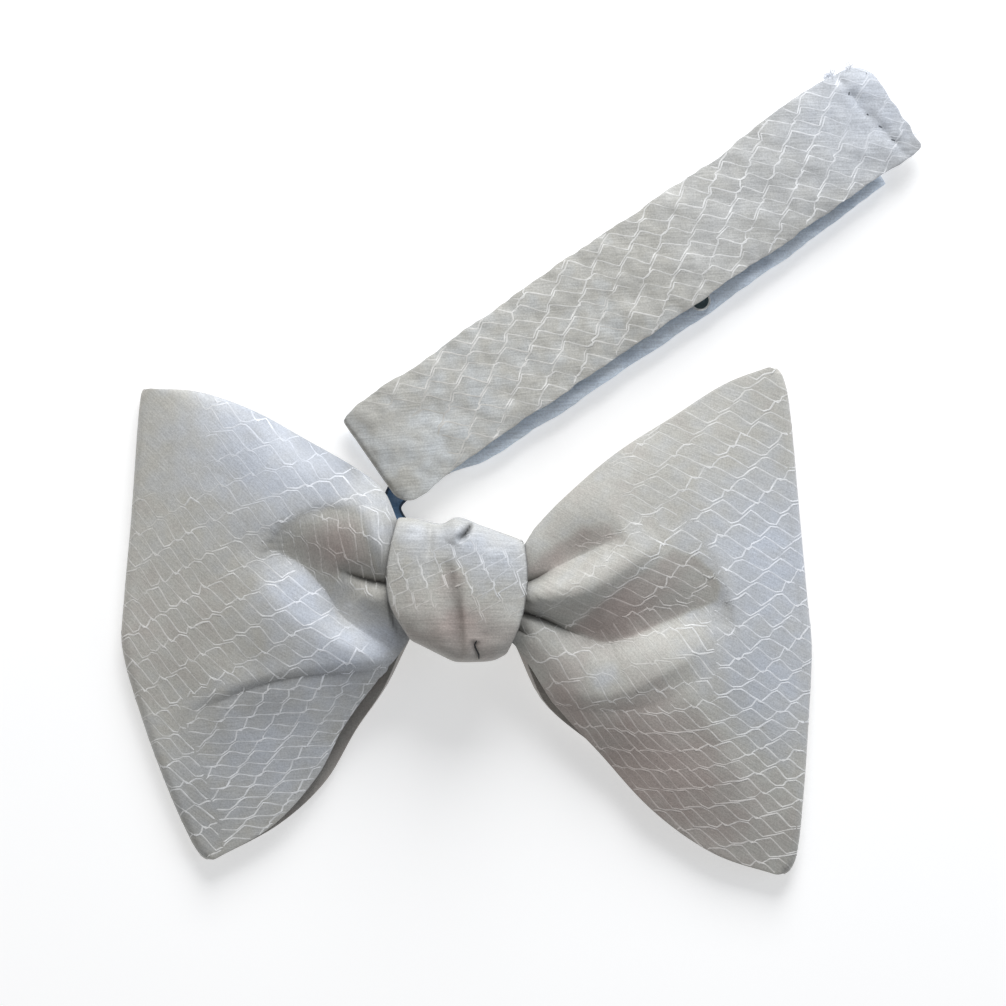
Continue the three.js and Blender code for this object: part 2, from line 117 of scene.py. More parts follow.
RIGHT_BACK = table(
    SECTION,
    (0.00, 0.4, 8.0, 0.4, -8.8, 6.8, 8.8, 8.8, 0.5),
    (0.16, 14.0, 6.8, 11.6, -9.6, 7.8, 9.5, 9.5, 0.5),
    (0.30, 24.6, 17.8, 19.4, -25.0, 4.2, 4.2, 3.6, 0.5),
    (0.45, 36.4, 27.8, 32.0, -35.8, 1.6, 2.0, 1.4, 0.5),
    (0.62, 48.2, 35.4, 44.4, -47.6, 1.0, 1.2, 1.0, 0.5),
    (0.80, 60.4, 43.6, 58.0, -57.6, 0.85, 0.85, 0.85, 0.5),
    (1.00, 71.4, 48.8, 72.8, -63.4, 0.85, 0.85, 0.85, 0.5),
)

# How far each outer fold bows out of the straight line between its corners
OUTER_BOW = table(
    "at left right",
    (0.00, 0.0, 0.0),
    (0.06, 1.6, 1.8),
    (0.28, 6.4, 3.9),
    (0.45, 10.4, 5.4),
    (0.55, 12.2, 6.3),
    (0.70, 10.0, 5.4),
    (0.85, 6.4, 4.0),
    (0.96, 2.8, 2.4),
    (1.00, 0.6, 0.4),
)

# A fold runs along its way. Its rise at the way's start, middle and end is below zero for a valley.
# Left and right are its half widths on either hand of that way. Edge is 2 for a soft fold and 1 for a crease.
Fold = namedtuple("Fold", "name way rise left right edge")
LEFT_FOLDS = (
    Fold("pocket", ((-13, -13.5), (-19.5, -10.3), (-25, -6.2), (-28.2, -1.2), (-34, 5.4), (-42, 9.6)),
         (-2.2, -4.6, -2.6), (2.2, 3.0, 3.6), (6.0, 12.0, 6.5), 1.45),
    Fold("pocket slit", ((-10, 0.4), (-18.5, 1.8), (-27, 5.0)),
         (-4.2, -3.4, -0.4), (0.9, 1.2, 1.4), (1.2, 1.8, 1.6), 1.6),
    Fold("slit bank", ((-11, -3.5), (-17, -2.4), (-22, -0.4)),
         (0.8, 1.3, 0.5), (2.0, 2.2, 2.2), (1.8, 2.0, 2.0), 1.8),
    Fold("pocket roof", ((-41, 12.6), (-30, 19), (-20, 17.4)),
         (0.2, 0.4, 0.3), (4.0, 5.0, 4.0), (1.0, 1.2, 1.2), 1.4),
    Fold("pocket side", ((-20, 18), (-17, 9.5), (-14, 1.5)),
         (0.4, 0.9, 0.5), (3.0, 3.4, 2.5), (1.1, 1.3, 1.2), 1.4),
    Fold("pocket ridge", ((-48, 7), (-38, -5.5), (-15, -17)),
         (0.4, 1.8, 1.8), (3.5, 4.6, 3.6), (8.0, 10.0, 5.0), 1.8),
    Fold("long line", ((-10, -15), (-38, -18.5), (-63, -28)),
         (2.2, 3.2, 1.6), (8, 14, 12), (8, 13, 13), 1.2),
    Fold("line crease", ((-14, -17), (-40, -20.2), (-62, -29)),
         (-0.7, -0.7, -0.3), (1.4, 1.4, 1.4), (0.7, 0.8, 0.9), 1.5),
    Fold("tip line", ((-61, -26), (-57, -40), (-51, -58)),
         (0.6, 0.8, 0.4), (4.0, 5.0, 5.0), (5.0, 5.0, 5.0), 1.6),
)
RIGHT_FOLDS = (
    Fold("upper valley", ((11, -0.6), (24.8, 5.8), (37, 12.0)),
         (-3.2, -3.8, -1.4), (4.0, 6.4, 5.2), (2.2, 2.8, 3.2), 1.6),
    Fold("upper slit", ((10, 0.2), (16, 1.2), (22, 3.8)),
         (-3.4, -2.4, -0.3), (0.8, 1.0, 1.2), (0.7, 0.9, 1.0), 1.6),
    Fold("upper ridge", ((11, -3.0), (28, -0.4), (45, 10)),
         (0.9, 1.3, 1.3), (2.8, 3.6, 4.0), (2.4, 2.4, 2.4), 1.7),
    Fold("middle valley",
         ((8, -3), (18.3, -6.4), (26, -9.7), (34, -11.6), (44, -8.0), (52, -4.8), (60, -2.4)),
         (-3.6, -4.4, -3.0), (3.0, 11.0, 9.0), (2.8, 5.8, 5.6), 1.5),
    Fold("middle slit", ((9, -3.6), (18.3, -6.4), (28, -10.8)),
         (-4.6, -3.8, -0.4), (0.8, 1.0, 1.2), (0.7, 0.9, 1.1), 1.6),
    Fold("middle rim", ((44, 9.5), (51, 8.2), (56, 4.6), (58.6, 0.4), (58, -4)),
         (0.1, 0.25, 0.15), (4.5, 5.0, 5.0), (1.6, 1.8, 1.8), 1.5),
    Fold("lower ridge",
         ((20, -21.5), (30, -23.4), (37, -22.4), (41, -20.6), (46, -18), (50.5, -15.4), (56, -11)),
         (0.6, 1.5, 0.8), (6.0, 9.0, 7.0), (2.2, 2.8, 2.8), 1.5),
    Fold("root slit", ((9, -8.2), (13, -8.8), (18, -11.4)),
         (-2.6, -1.6, -0.2), (0.8, 1.0, 1.2), (0.8, 1.0, 1.2), 1.2),
    Fold("low line", ((12, -19), (30, -26.0), (58, -23.0)),
         (0.8, 1.2, 0.8), (5.0, 5.0, 6.0), (7, 11, 12), 1.25),
    Fold("line dip", ((18, -24.6), (34, -26.6), (54, -22.8)),
         (-0.3, -0.35, -0.1), (0.9, 1.0, 1.1), (1.3, 1.5, 1.7), 1.5),
    Fold("tip line", ((50, -22), (60, -38), (70, -60)),
         (0.6, 1.8, 0.6), (6, 7, 6), (8, 12, 8), 1.3),
    Fold("side line", ((58, -8), (58, -20), (57, -34)),
         (0.5, 0.7, 0.4), (6.0, 6.0, 6.0), (2.6, 3.0, 3.6), 1.7),
)
WING_ARCH = 1.55
# Where the folds end on the way to the outer fold, and where the low waves begin
FOLDS_END = 0.8
WAVES_BEGIN = (0.16, 0.4)
# Radii of the wings' upper and lower outer corners, the columns at and near those sides, and how many rows
# the corners reach
CORNER_RADII = {"left": (1.4, 2.0), "right": (2.6, 2.4)}
WING_SIDES = ((0, 8), (-1, -9))
WING_CORNER_REACH = 28
WING_CORNER_ROWS = (18, 12)

# Low waves of cloth that is never quite flat: height, length and seed of each set
WING_WAVES = {"left": ((0.28, 17, 3),), "right": ((0.28, 17, 8),)}
KNOT_WAVES = ((0.12, 7, 5),)
RUN_WAVER = ((0.22, 11, 21), (0.12, 4, 22))
RUN_PUCKERS = ((0.22, 9, 23), (0.10, 3.2, 24))
HEM_WAVES = ((0.22, 3.0, 25),)
END_WAVES = ((0.3, 4, 26),)
RIPPLE_PEAK = 1.6

# Knot: outline seen from above, one row for each section from its left rim to its right rim
KNOT_SECTIONS = table(
    "at top bottom peak",
    (0.00, 15.6, -11.2, 20.0),
    (0.15, 15.3, -12.8, 21.2),
    (0.35, 14.2, -15.0, 21.8),
    (0.45, 15.5, -16.0, 22.0),
    (0.52, 15.4, -16.2, 22.0),
    (0.65, 13.9, -16.2, 21.8),
    (0.85, 11.9, -15.8, 21.0),
    (1.00, 10.2, -14.2, 19.8),
)
KNOT_RIMS = table(
    "at left right",
    (0.00, -10.4, 11.6),
    (0.25, -14.3, 14.2),
    (0.50, -15.4, 15.5),
    (0.75, -14.6, 15.8),
    (1.00, -13.0, 15.2),
)
KNOT_HALF_HEIGHT = 15.5
KNOT_SQUARENESS = 4.8
# The rims roll in: their radius, and how far they draw the outline in and the top down
KNOT_RIM_ROLL = 1.2
ROLL_DRAWS_IN = 0.6
ROLL_DRAWS_DOWN = 0.8
KNOT_RIM_LIFT = 0.8
# Height at which the knot's painted light and shade begins, and the height over which it grows
KNOT_TINT_FOOT = 2
KNOT_TINT_RISE = 20
# Painted shade where the knot meets the wings: a dark line beside its rims, and how far the net keeps clear
# of them
KNOT_LINE_WIDTH = 0.55
KNOT_LINE_INSET = 0.8
KNOT_LINE_END = (-12, -7)
KNOT_LINE_OVER = 3
KNOT_LINE_PAINTED_SHADE = 0.95
NET_CLEAR_OF_KNOT = 2.0
# Narrow creases get painted shade: how dark it is in one that is as deep as the darkest rise
CREASE_PAINTED_SHADE = 0.88
DARKEST_RISE = -2.0
KNOT_FOLDS = (
    Fold("long crease", ((-1.8, 6.4), (0.5, -2.4), (1.4, -15.5)),
         (-0.5, -1.1, -0.9), (0.5, 0.5, 0.7), (2.0, 1.8, 1.8), 1.4),
    Fold("left line", ((-5.4, 14.8), (-5.7, 10.5), (-6.2, 6.2)),
         (-0.8, -0.8, -0.4), (0.7, 0.8, 0.9), (0.9, 1.0, 1.0), 1.6),
    Fold("top slit", ((3.6, 14.4), (2.2, 12.0), (0.4, 10.2)),
         (-2.0, -2.0, -0.7), (0.5, 0.6, 0.8), (0.4, 0.5, 0.6), 1.6),
    Fold("slit bank", ((1.6, 15), (0.2, 12.6), (-1.4, 10.0)),
         (0.5, 0.8, 0.4), (1.1, 1.2, 1.4), (1.4, 1.4, 1.6), 1.8),
    Fold("left roll", ((-9.5, 12), (-10.5, 4), (-8.5, -8)),
         (0.4, 0.5, 0.3), (3.0, 3.0, 3.0), (3.0, 3.0, 3.0), 2.0),
    Fold("right roll", ((8, 9), (7.6, 0), (7.4, -10)),
         (0.4, 0.6, 0.5), (4.0, 4.0, 3.0), (3.0, 3.0, 3.0), 2.0),
    Fold("low pleat", ((-7, 2), (-4, -7), (-2.5, -15)),
         (0.2, 0.5, 0.4), (2.0, 2.2, 2.2), (2.0, 2.2, 2.2), 1.8),
    Fold("stitch dent", ((4.4, -11.4), (4.2, -13.2), (5.2, -15.4)),
         (-0.7, -0.8, -0.6), (0.7, 0.7, 0.8), (0.8, 0.8, 0.9), 2.0),
)

# Neck band: its line leaves the fold beside the knot at this angle
BAND_START = (-17.9, 28.1)
BAND_ANGLE = np.radians(34.8)
BOTTOM_RUN_Z = BAND_CLOTH / 2
MIDDLE_RUN_Z = BOTTOM_RUN_Z + BAND_CLOTH + LAYER_GAP
TOP_RUN_Z = MIDDLE_RUN_Z + BAND_CLOTH + LAYER_GAP + 0.5

# Radii of the upper and lower corners of the band's folded end, the columns at and near those sides, and how
# many rows the corners reach
BAND_CORNER_RADII = (0.9, 2.9)
BAND_SIDES = ((0, 6), (-1, -7))
BAND_CORNER_ROWS = 12

# Runs of the band: distance along its line, how far its edges lie beside that line, and its height
RUN = "at up low z"
TOP_RUN = table(
    RUN,
    (0.6, 11.4, -11.9, TOP_RUN_Z - 0.9),
    (4.0, 12.1, -12.2, TOP_RUN_Z - 0.2),
    (9.0, 12.5, -11.7, TOP_RUN_Z + 0.2),
    (18.0, 11.8, -11.3, TOP_RUN_Z + 0.3),
    (32.0, 12.0, -11.4, TOP_RUN_Z + 0.6),
    (58.0, 12.2, -11.8, TOP_RUN_Z + 0.3),
    (79.0, 12.0, -11.9, TOP_RUN_Z + 1.0),
    (100.0, 11.6, -12.1, TOP_RUN_Z + 0.2),
    (116.0, 12.6, -12.1, TOP_RUN_Z + 0.5),
    (129.0, 12.1, -12.1, TOP_RUN_Z - 0.2),
    (135.0, 11.4, -12.2, TOP_RUN_Z - 0.5),
    (138.6, 9.0, -12.0, TOP_RUN_Z - 0.7),
)
MIDDLE_RUN = table(
    RUN,
    (0.6, 10.4, -10.4, MIDDLE_RUN_Z),
    (12.0, 9.6, -11.6, MIDDLE_RUN_Z),
    (20.0, 9.4, -13.8, MIDDLE_RUN_Z),
    (35.0, 9.2, -14.6, MIDDLE_RUN_Z),
    (75.0, 8.8, -15.2, MIDDLE_RUN_Z),
    (100.0, 9.0, -15.0, MIDDLE_RUN_Z),
    (125.6, 9.4, -14.2, MIDDLE_RUN_Z),
)
# The lowest run narrows to a gathered root, which bends off under the knot: its own line and width
BOTTOM_RUN = table(
    "at along beside width",
    (0.00, 125.6, -2.4, 23.6),
    (0.20, 100.0, -2.8, 23.6),
    (0.55, 45.0, -2.6, 23.0),
    (0.70, 22.0, -5.0, 16.0),
    (0.80, 6.0, -7.4, 8.0),
    (0.86, -1.8, -9.6, 4.6),
    (0.91, -3.7, -13.6, 4.2),
    (0.95, -2.6, -20.0, 5.0),
    (1.00, -2.0, -28.0, 7.0),
)

# Hem stitched near the free end: where its line crosses the band's, its slant, and where its stitches are
HEM_ALONG = 132.9
HEM_SLANT = -0.13
HEM_WIDTH = 1.1
HEM_SINK = 0.4
HEM_DEPTH = 0.8
HEM_STITCHES = (6.7, 0.6, -3.2, -7.2)
HEM_STITCH_HALF = 0.26
# Painted shade in the pucker beside each hem stitch: how far it reaches, and how dark it is
PUCKER_REACH = 1.1
PUCKER_PAINTED_SHADE = 0.22
BAND_CROWN = 0.5
END_WAVE_BEGINS = 135
END_CORNER_RADII = (2.4, 1.2)
# Frayed threads: along, beside, spread, and how many
FRAYS = (
    (130.4, 11.9, 0.75, 150), (135.2, 11.0, 0.4, 44), (137.4, 6.0, 1.4, 12), (138.0, -2.0, 2.0, 14),
    (138.0, -9.0, 0.9, 16),
)
FRAY_LENGTH = 1.4
FRAY_HALF_WIDTH = 0.035
FRAY_POINTS = 6
FRAY_TONE = 0.95
# Heading of the frayed threads at the band's upper edge and at its end, as along, beside and up
FRAYED_EDGE = 10
FRAYS_BESIDE = (0.1, 0.9, 0.3)
FRAYS_ALONG = (0.8, 0, 0.2)
# Stitches: half width, height, lift off the cloth, and how many points
HEM_STITCH_SIZE = (0.16, 0.05, 0.01, 5)
HAND_STITCH_SIZE = (0.2, 0.12, 0.03, 14)
HAND_STITCH = ((4.6, -11.3), (4.1, -12.3), (4.5, -13.3), (5.0, -14.3), (5.1, -15.4))

# Share of the lowest run that is the gathered root, painted dark as shade, rows it takes, and its painted
# darker edges
ROOT_SHARE = 0.26
ROOT_BLEND = 8
ROOT_EDGE = 0.75
ROOT_EDGE_PAINTED_SHADE = 0.8

# Press stud on the middle run, half under the top run's lower edge
STUD = {"along": 79.0, "beside": -12.0, "radius": 2.3, "height": 1.1, "rim": 0.45, "dome": 1.0}
STUD_SIDES = 64
STUD_GAP = 0.3
STUD_DISH = 0.35
DOME_SLOPE = 0.3
DOME_RISE = 0.25
STUD_EDGE = 0.12
STUD_EDGE_ANGLE = np.radians(40)

# Net of the weave: both steps of its mesh in flat cloth, as length and angle from the line of its threads
NET_RISE = (3.35, np.radians(32))
NET_FALL = (6.6, np.radians(-31))
NET_SCALE = np.array([NET_RISE[0], NET_FALL[0]])
NET_SPAN = 40.0
# Place along a wing from which its back's even eyes are counted
BACK_EYES_FROM = 45
# Half length of an eye and half its opening, each in steps of the rise and of the fall
Eye = namedtuple("Eye", "reach opening")
SLANTED_EYE = Eye((0.18, 0.045), (-0.074, 0.048))
UPRIGHT_EYE = Eye((0.25, 0.010), (-0.020, 0.046))
CROSSED_EYES = 0.4
# How far one eye differs from the next: in its place, its tilt, its length and its opening (least and range)
EYE_STRAY = (0.045, 0.022)
EYE_TILT = 0.6
EYE_STRETCH = 0.2
EYE_GAPE = (0.8, 0.3)
EYE_MOODS = (61, 67)
THREAD_HALF_WIDTH = 0.17
THREAD_HEIGHT = 0.024
THREAD_END = 0.3
# Parts of a thread: how wide it lies, how high over the satin, and how far it differs from the satin's colour
Part = namedtuple("Part", "width lift glow")
EYE_PART = Part(0.9, 0.02, 1.1)
FALL_PART = Part(1.0, 0.0, 0.52)
RISE_PART = Part(1.05, 0.005, 0.76)
GLOW_CHANGE = 0.26
WIDTH_CHANGE = 0.14
LIFT_CHANGE = 0.01
LEAST_GLOW = 0.07
MOST_GLOW = 1.2
LEAST_POINTS = 6
POINTS_A_CHANGE = 6
LONGEST_STEP = 1.6
# Points of a thread between two eyes, and how strongly the eyes bend it there
FALL_POINTS = 9
RISE_POINTS = 3
FALL_PULL = 1.1
RISE_PULL = 0.8

# Eyes of the net, seen from above, in each patch of cloth. These rows were printed by a study program, which
# followed the net through the photograph and chose well-spread eyes. Columns: place along the bow, place
# across it, and how many rises and falls of the threads it lies from the patch's first eye.
LEFT_UPPER_EYES = (
    (-66.2, -34.0, 0, 9), (-72.4, -18.0, 3, 6), (-59.8, -24.3, 5, 8), (-70.5, -2.7, 8, 4),
    (-62.2, -11.5, 8, 6), (-73.9, 8.9, 10, 2), (-52.5, -13.0, 10, 7), (-32.4, -15.4, 13, 9),
    (-60.9, 10.6, 14, 3), (-51.8, 1.8, 14, 5), (-41.2, -6.5, 14, 7), (-18.1, -11.9, 16, 10),
    (-65.4, 28.3, 17, 0), (-31.9, -1.4, 17, 7), (-54.1, 20.9, 18, 2), (-44.6, 12.1, 18, 4),
    (-53.3, 33.8, 21, 0), (-30.9, 17.3, 22, 4), (-37.8, 32.1, 24, 1), (-17.4, 21.3, 26, 4),
)
LEFT_POCKET_EYES = (
    (-34.3, 5.5, 0, 3), (-28.6, 15.1, 3, 1), (-23.9, 7.2, 4, 2), (-22.3, 0.4, 4, 3),
    (-21.1, 18.1, 6, 0), (-19.5, 11.4, 6, 1), (-15.0, 3.3, 7, 2), (-15.1, 15.7, 8, 0),
)
LEFT_LOWER_EYES = (
    (-52.1, -57.8, 0, 6), (-37.8, -54.2, 1, 8), (-49.3, -48.6, 4, 5), (-39.0, -42.8, 6, 6),
    (-27.6, -41.5, 6, 8), (-53.1, -39.3, 8, 3), (-44.9, -36.0, 9, 4), (-37.0, -32.6, 10, 5),
    (-20.2, -30.8, 10, 8), (-59.9, -24.0, 14, 0), (-47.2, -22.9, 14, 2), (-29.9, -21.2, 14, 5),
    (-39.5, -19.4, 15, 3), (-12.3, -16.9, 15, 8),
)
RIGHT_OUTER_EYES = (
    (23.2, -25.1, 0, 9), (36.1, -39.2, 0, 12), (53.3, -52.8, 1, 15), (72.2, -64.0, 2, 18),
    (42.7, -27.4, 7, 9), (67.8, -45.1, 7, 14), (56.1, -34.6, 8, 11), (78.1, -33.9, 12, 13),
    (66.7, -24.8, 13, 10), (56.7, -12.1, 15, 7), (27.5, 9.4, 16, 2), (79.9, -20.7, 16, 11),
    (80.5, -6.3, 20, 9), (41.8, 15.8, 21, 2), (55.6, 9.4, 21, 4), (29.6, 23.7, 22, 0),
    (70.2, 6.1, 22, 6), (52.9, 24.2, 25, 2), (76.9, 21.2, 27, 5), (48.7, 38.6, 29, 0),
    (63.5, 33.8, 29, 2), (69.5, 48.4, 34, 1),
)
RIGHT_MIDDLE_EYES = (
    (25.7, -7.5, 0, 1), (42.3, -1.7, 4, 2), (31.6, 4.5, 5, 0), (51.3, -1.7, 5, 3), (56.3, 2.9, 7, 3),
    (39.1, 11.9, 8, 0), (45.7, 9.8, 8, 1), (50.6, 15.4, 10, 1),
)
RIGHT_LOWER_EYES = (
    (18.2, -15.8, 0, 1), (22.9, -20.7, 0, 2), (27.5, -25.7, 0, 3), (20.2, -9.4, 2, 0),
    (34.4, -24.3, 2, 3), (28.4, -13.6, 3, 1), (36.4, -18.0, 4, 2), (38.1, -11.6, 6, 1),
    (36.4, -5.9, 7, 0),
)
KNOT_EYES = (
    (11.9, -7.4, 0, 5), (14.6, -0.2, 1, 6), (0.0, -4.1, 4, 3), (6.9, 3.6, 4, 5), (14.3, 11.9, 4, 7),
    (-11.5, -8.7, 6, 0), (-4.6, 7.4, 8, 3), (1.7, 14.4, 8, 5), (-14.4, 0.3, 9, 0),
)
BAND_EYES = (
    (-8.2, 23.3, 0, 2), (3.7, 36.6, 4, 3), (19.5, 44.0, 6, 5), (-10.6, 50.2, 9, 0), (36.3, 54.2, 9, 7),
    (8.1, 63.8, 13, 2), (53.9, 67.0, 13, 9), (22.8, 67.9, 14, 4), (33.0, 77.4, 17, 5),
    (71.3, 79.5, 17, 11), (91.9, 85.9, 19, 14), (50.8, 90.0, 21, 7), (68.2, 102.3, 25, 9),
    (95.2, 108.8, 27, 13),
)


def on_curve(rows, column, at):
    """Values between the rows of a table, on a smooth curve through one of its columns."""
    places = next(iter(rows.values()))
    values = rows[column]
    order = np.arange(len(places))
    before, after = np.maximum(order - 1, 0), np.minimum(order + 1, len(places) - 1)
    slopes = (values[after] - values[before]) / (places[after] - places[before])
    row = np.clip(np.searchsorted(places, at, side="right") - 1, 0, len(places) - 2)
    span = places[row + 1] - places[row]
    t = np.clip((at - places[row]) / span, 0, 1)
    start = values[row] * (1 + 2 * t) * (1 - t) ** 2 + slopes[row] * span * t * (1 - t) ** 2
    end = values[row + 1] * (3 - 2 * t) * t**2 - slopes[row + 1] * span * (1 - t) * t**2
    return start + end


def blend_step(low, high, value):
    """Zero up to low, one from high on, and a smooth rise between them."""
    t = np.clip((value - low) / (high - low), 0, 1)
    return t * t * (3 - 2 * t)


def three_way(values, along):
    """A value that passes smoothly from the start's, by the middle's, to the end's."""
    start, middle, end = values
    return start + (middle - start) * blend_step(0, 0.5, along) + (end - middle) * blend_step(0.5, 1, along)


def fold_height(folds, x, y):
    """Height that the folds add at each place."""
    height = np.zeros_like(x)
    t = np.linspace(0, 1, STROKE_STEPS)
    for fold in folds:
        way = np.array(fold.way, dtype=float)
        rows = {"at": np.linspace(0, 1, len(way)), "x": way[:, 0], "y": way[:, 1]}
        line = np.stack([on_curve(rows, "x", t), on_curve(rows, "y", t)], -1)
        heading = np.gradient(line, axis=0)
        away_x, away_y = x[..., None] - line[:, 0], y[..., None] - line[:, 1]
        nearest = np.argmin(away_x**2 + away_y**2, axis=-1)
        pick = nearest[..., None]
        near_x = np.take_along_axis(away_x, pick, -1)[..., 0]
        near_y = np.take_along_axis(away_y, pick, -1)[..., 0]
        along = t[nearest]
        hand = heading[nearest, 0] * near_y - heading[nearest, 1] * near_x
        left, right, rise = (three_way(values, along) for values in (fold.left, fold.right, fold.rise))
        width = right + (left - right) * blend_step(-0.3, 0.3, hand)
        rise *= 1 - np.abs(2 * along - 1) ** 6
        height += rise * np.exp(-((np.hypot(near_x, near_y) / width) ** fold.edge))
    return height


def crease_shade(folds, x, y):
    """How much shade is painted into the narrow creases, from 0 to 1: a deeper one gets more."""
    creases = [
        fold._replace(rise=tuple(-max(rise, DARKEST_RISE) / DARKEST_RISE for rise in fold.rise))
        for fold in folds if fold.name.endswith(("slit", "crease", "dent"))
    ]
    return np.clip(-fold_height(creases, x, y), 0, 1) * CREASE_PAINTED_SHADE


def beside_knot(x, y, width):
    """One at the knot's rims, falling to zero beside them."""
    up = np.clip((y + KNOT_HALF_HEIGHT) / (2 * KNOT_HALF_HEIGHT), 0, 1)
    left = on_curve(KNOT_RIMS, "left", up) + KNOT_LINE_INSET
    right = on_curve(KNOT_RIMS, "right", up) - KNOT_LINE_INSET
    beyond = np.minimum(np.abs(x - left), np.abs(x - right))
    below_top = y < KNOT_HALF_HEIGHT + KNOT_LINE_OVER
    return np.exp(-((beyond / width) ** 2)) * blend_step(*KNOT_LINE_END, y) * below_top


def ripples(x, y, length, seed, count=9):
    """Low waves that run every way, from about -1 to 1."""
    random = np.random.default_rng(seed)
    x, y = np.broadcast_arrays(x, y)
    height = np.zeros(x.shape)
    for _ in range(count):
        angle, phase = random.uniform(0, 2 * np.pi, 2)
        wave = 2 * np.pi / (length * random.uniform(0.7, 1.5))
        height += np.sin(wave * (x * np.cos(angle) + y * np.sin(angle)) + phase)
    return height / count**0.5 / RIPPLE_PEAK


def waves(x, y, rows):
    """Sum of sets of low waves."""
    return sum(height * ripples(x, y, length, seed) for height, length, seed in rows)


def row_numbers(places):
    """Row of each place of a grid."""
    return np.arange(len(places))[:, None] * np.ones((1, places.shape[1]))


def run_lengths(places):
    """How far it is down each column of a grid from its first row."""
    run = np.linalg.norm(np.diff(places, axis=0), axis=-1)
    return np.concatenate([np.zeros((1, places.shape[1])), np.cumsum(run, axis=0)])


def round_corner(places, corner, sides, radius):
    """Draws the places near a corner in to an arc. Sides are places on the two sides that meet there."""
    ways = np.array([side - corner for side in sides])
    ways /= np.linalg.norm(ways, axis=1, keepdims=True)
    short = np.maximum(radius - (places[..., :2] - corner) @ np.linalg.inv(ways), 0)
    drawn = short * (short.max(-1) / np.maximum(np.hypot(short[..., 0], short[..., 1]), 1e-9))[..., None]
    near = (short > 0).all(-1)[..., None]
    places[..., :2] = np.where(near, corner + (radius - drawn) @ ways, places[..., :2])


def in_frame(points):
    """Layout millimetres to metres of the frame."""
    low, high = (np.array(corner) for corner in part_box("snap_stud"))
    shift = (low + high)[:2] / 2 - np.array(STUD_PLACE) * MM
    return np.asarray(points) * MM + np.append(shift, 0)


def wing_places(side, front, back, folds):
    """Middle of a wing's cloth: the front ply, the outer fold and the back ply are one sheet."""
    sign = -1 if side == "left" else 1
    down = np.linspace(0, 1, WING_ACROSS_STEPS + 1)[None, :]

    def ply(rows, at):
        at = np.broadcast_to(at[:, None], (len(at), down.size))
        upper = np.stack([on_curve(rows, "upX", at), on_curve(rows, "upY", at)], -1)
        lower = np.stack([on_curve(rows, "lowX", at), on_curve(rows, "lowY", at)], -1)
        place = upper + (lower - upper) * down[..., None]
        bow = on_curve(OUTER_BOW, side, np.broadcast_to(down, at.shape))
        place[..., 0] += sign * bow * at**3
        up_z, low_z = on_curve(rows, "upZ", at), on_curve(rows, "lowZ", at)
        edge = up_z + (low_z - up_z) * down
        warped = down ** (np.log(0.5) / np.log(on_curve(rows, "ridge", at)))
        height = edge + (on_curve(rows, "crown", at) - edge) * (1 - np.abs(2 * warped - 1) ** WING_ARCH)
        return np.concatenate([place, height[..., None]], -1)

    one = np.ones(1)
    front_edge, back_edge = ply(front, one)[0], ply(back, one)[0]
    radius = (front_edge[:, 2] - back_edge[:, 2]) / 2

    def drawn_in(points, at):
        points[..., 0] -= sign * (radius + WING_CLOTH / 2) * np.asarray(at)[:, None] ** 2
        return points

    front_at = np.linspace(0, 1, FRONT_STEPS + 1)
    front_ply = drawn_in(ply(front, front_at), front_at)
    front_at = front_at[:, None]
    folded = fold_height(folds, front_ply[..., 0], front_ply[..., 1])
    folded = folded * (1 - blend_step(FOLDS_END, 1, front_at))
    waved = waves(front_ply[..., 0], front_ply[..., 1], WING_WAVES[side])
    front_ply[..., 2] += folded
    front_ply[..., 2] += waved * blend_step(*WAVES_BEGIN, front_at) * (1 - front_at**6)

    turn = np.linspace(0, np.pi, FOLD_STEPS + 1)[1:-1]
    fold = np.repeat(drawn_in(back_edge[None].copy(), one), len(turn), axis=0)
    fold[..., 0] += sign * radius * np.sin(turn)[:, None]
    fold[..., 2] += radius * (1 + np.cos(turn))[:, None]

    back_at = np.linspace(1, 0, BACK_STEPS + 1)
    back_ply = drawn_in(ply(back, back_at), back_at)
    back_ply[..., 2] += WING_REST
    places = np.concatenate([front_ply, fold, back_ply])
    outer = FRONT_STEPS + FOLD_STEPS // 2
    near = slice(outer - WING_CORNER_ROWS[0], outer + WING_CORNER_ROWS[1])
    for (end, inner), radius in zip(WING_SIDES, CORNER_RADII[side]):
        corner = places[outer, end, :2].copy()
        sides = (places[outer - WING_CORNER_REACH, end, :2].copy(), places[outer, inner, :2].copy())
        round_corner(places[near], corner, sides, radius)
    return places


def knot_places():
    """Outer face of the knot: a wrap round both wings' necks, open at its left and right rims."""
    floor = BAND_CLOTH + LAYER_GAP
    turn = np.linspace(0, 2 * np.pi, KNOT_ROUND_STEPS + 1)[:, None]
    across = np.linspace(0, 1, KNOT_ACROSS_STEPS + 1)[None, :]
    turn, across = np.broadcast_arrays(turn, across)

    def squared(value):
        return np.sign(value) * np.abs(value) ** (2 / KNOT_SQUARENESS)

    up, out = (1 + squared(np.cos(turn))) / 2, (1 + squared(np.sin(turn))) / 2
    left, right = on_curve(KNOT_RIMS, "left", up), on_curve(KNOT_RIMS, "right", up)
    x = left + (right - left) * across
    rim = np.minimum(x - left, right - x)
    roll = KNOT_RIM_ROLL - np.sqrt(KNOT_RIM_ROLL**2 - np.clip(KNOT_RIM_ROLL - rim, 0, KNOT_RIM_ROLL) ** 2)
    top = on_curve(KNOT_SECTIONS, "top", across) - ROLL_DRAWS_IN * roll
    bottom = on_curve(KNOT_SECTIONS, "bottom", across) + ROLL_DRAWS_IN * roll
    peak = on_curve(KNOT_SECTIONS, "peak", across) - ROLL_DRAWS_DOWN * roll
    y = bottom + (top - bottom) * up
    low = floor + KNOT_RIM_LIFT * np.abs(2 * across - 1) ** 4
    z = low + (peak - low) * out
    z += fold_height(KNOT_FOLDS, x, y) * out**2 + waves(x, y, KNOT_WAVES) * out
    return np.stack([x, y, z], -1)


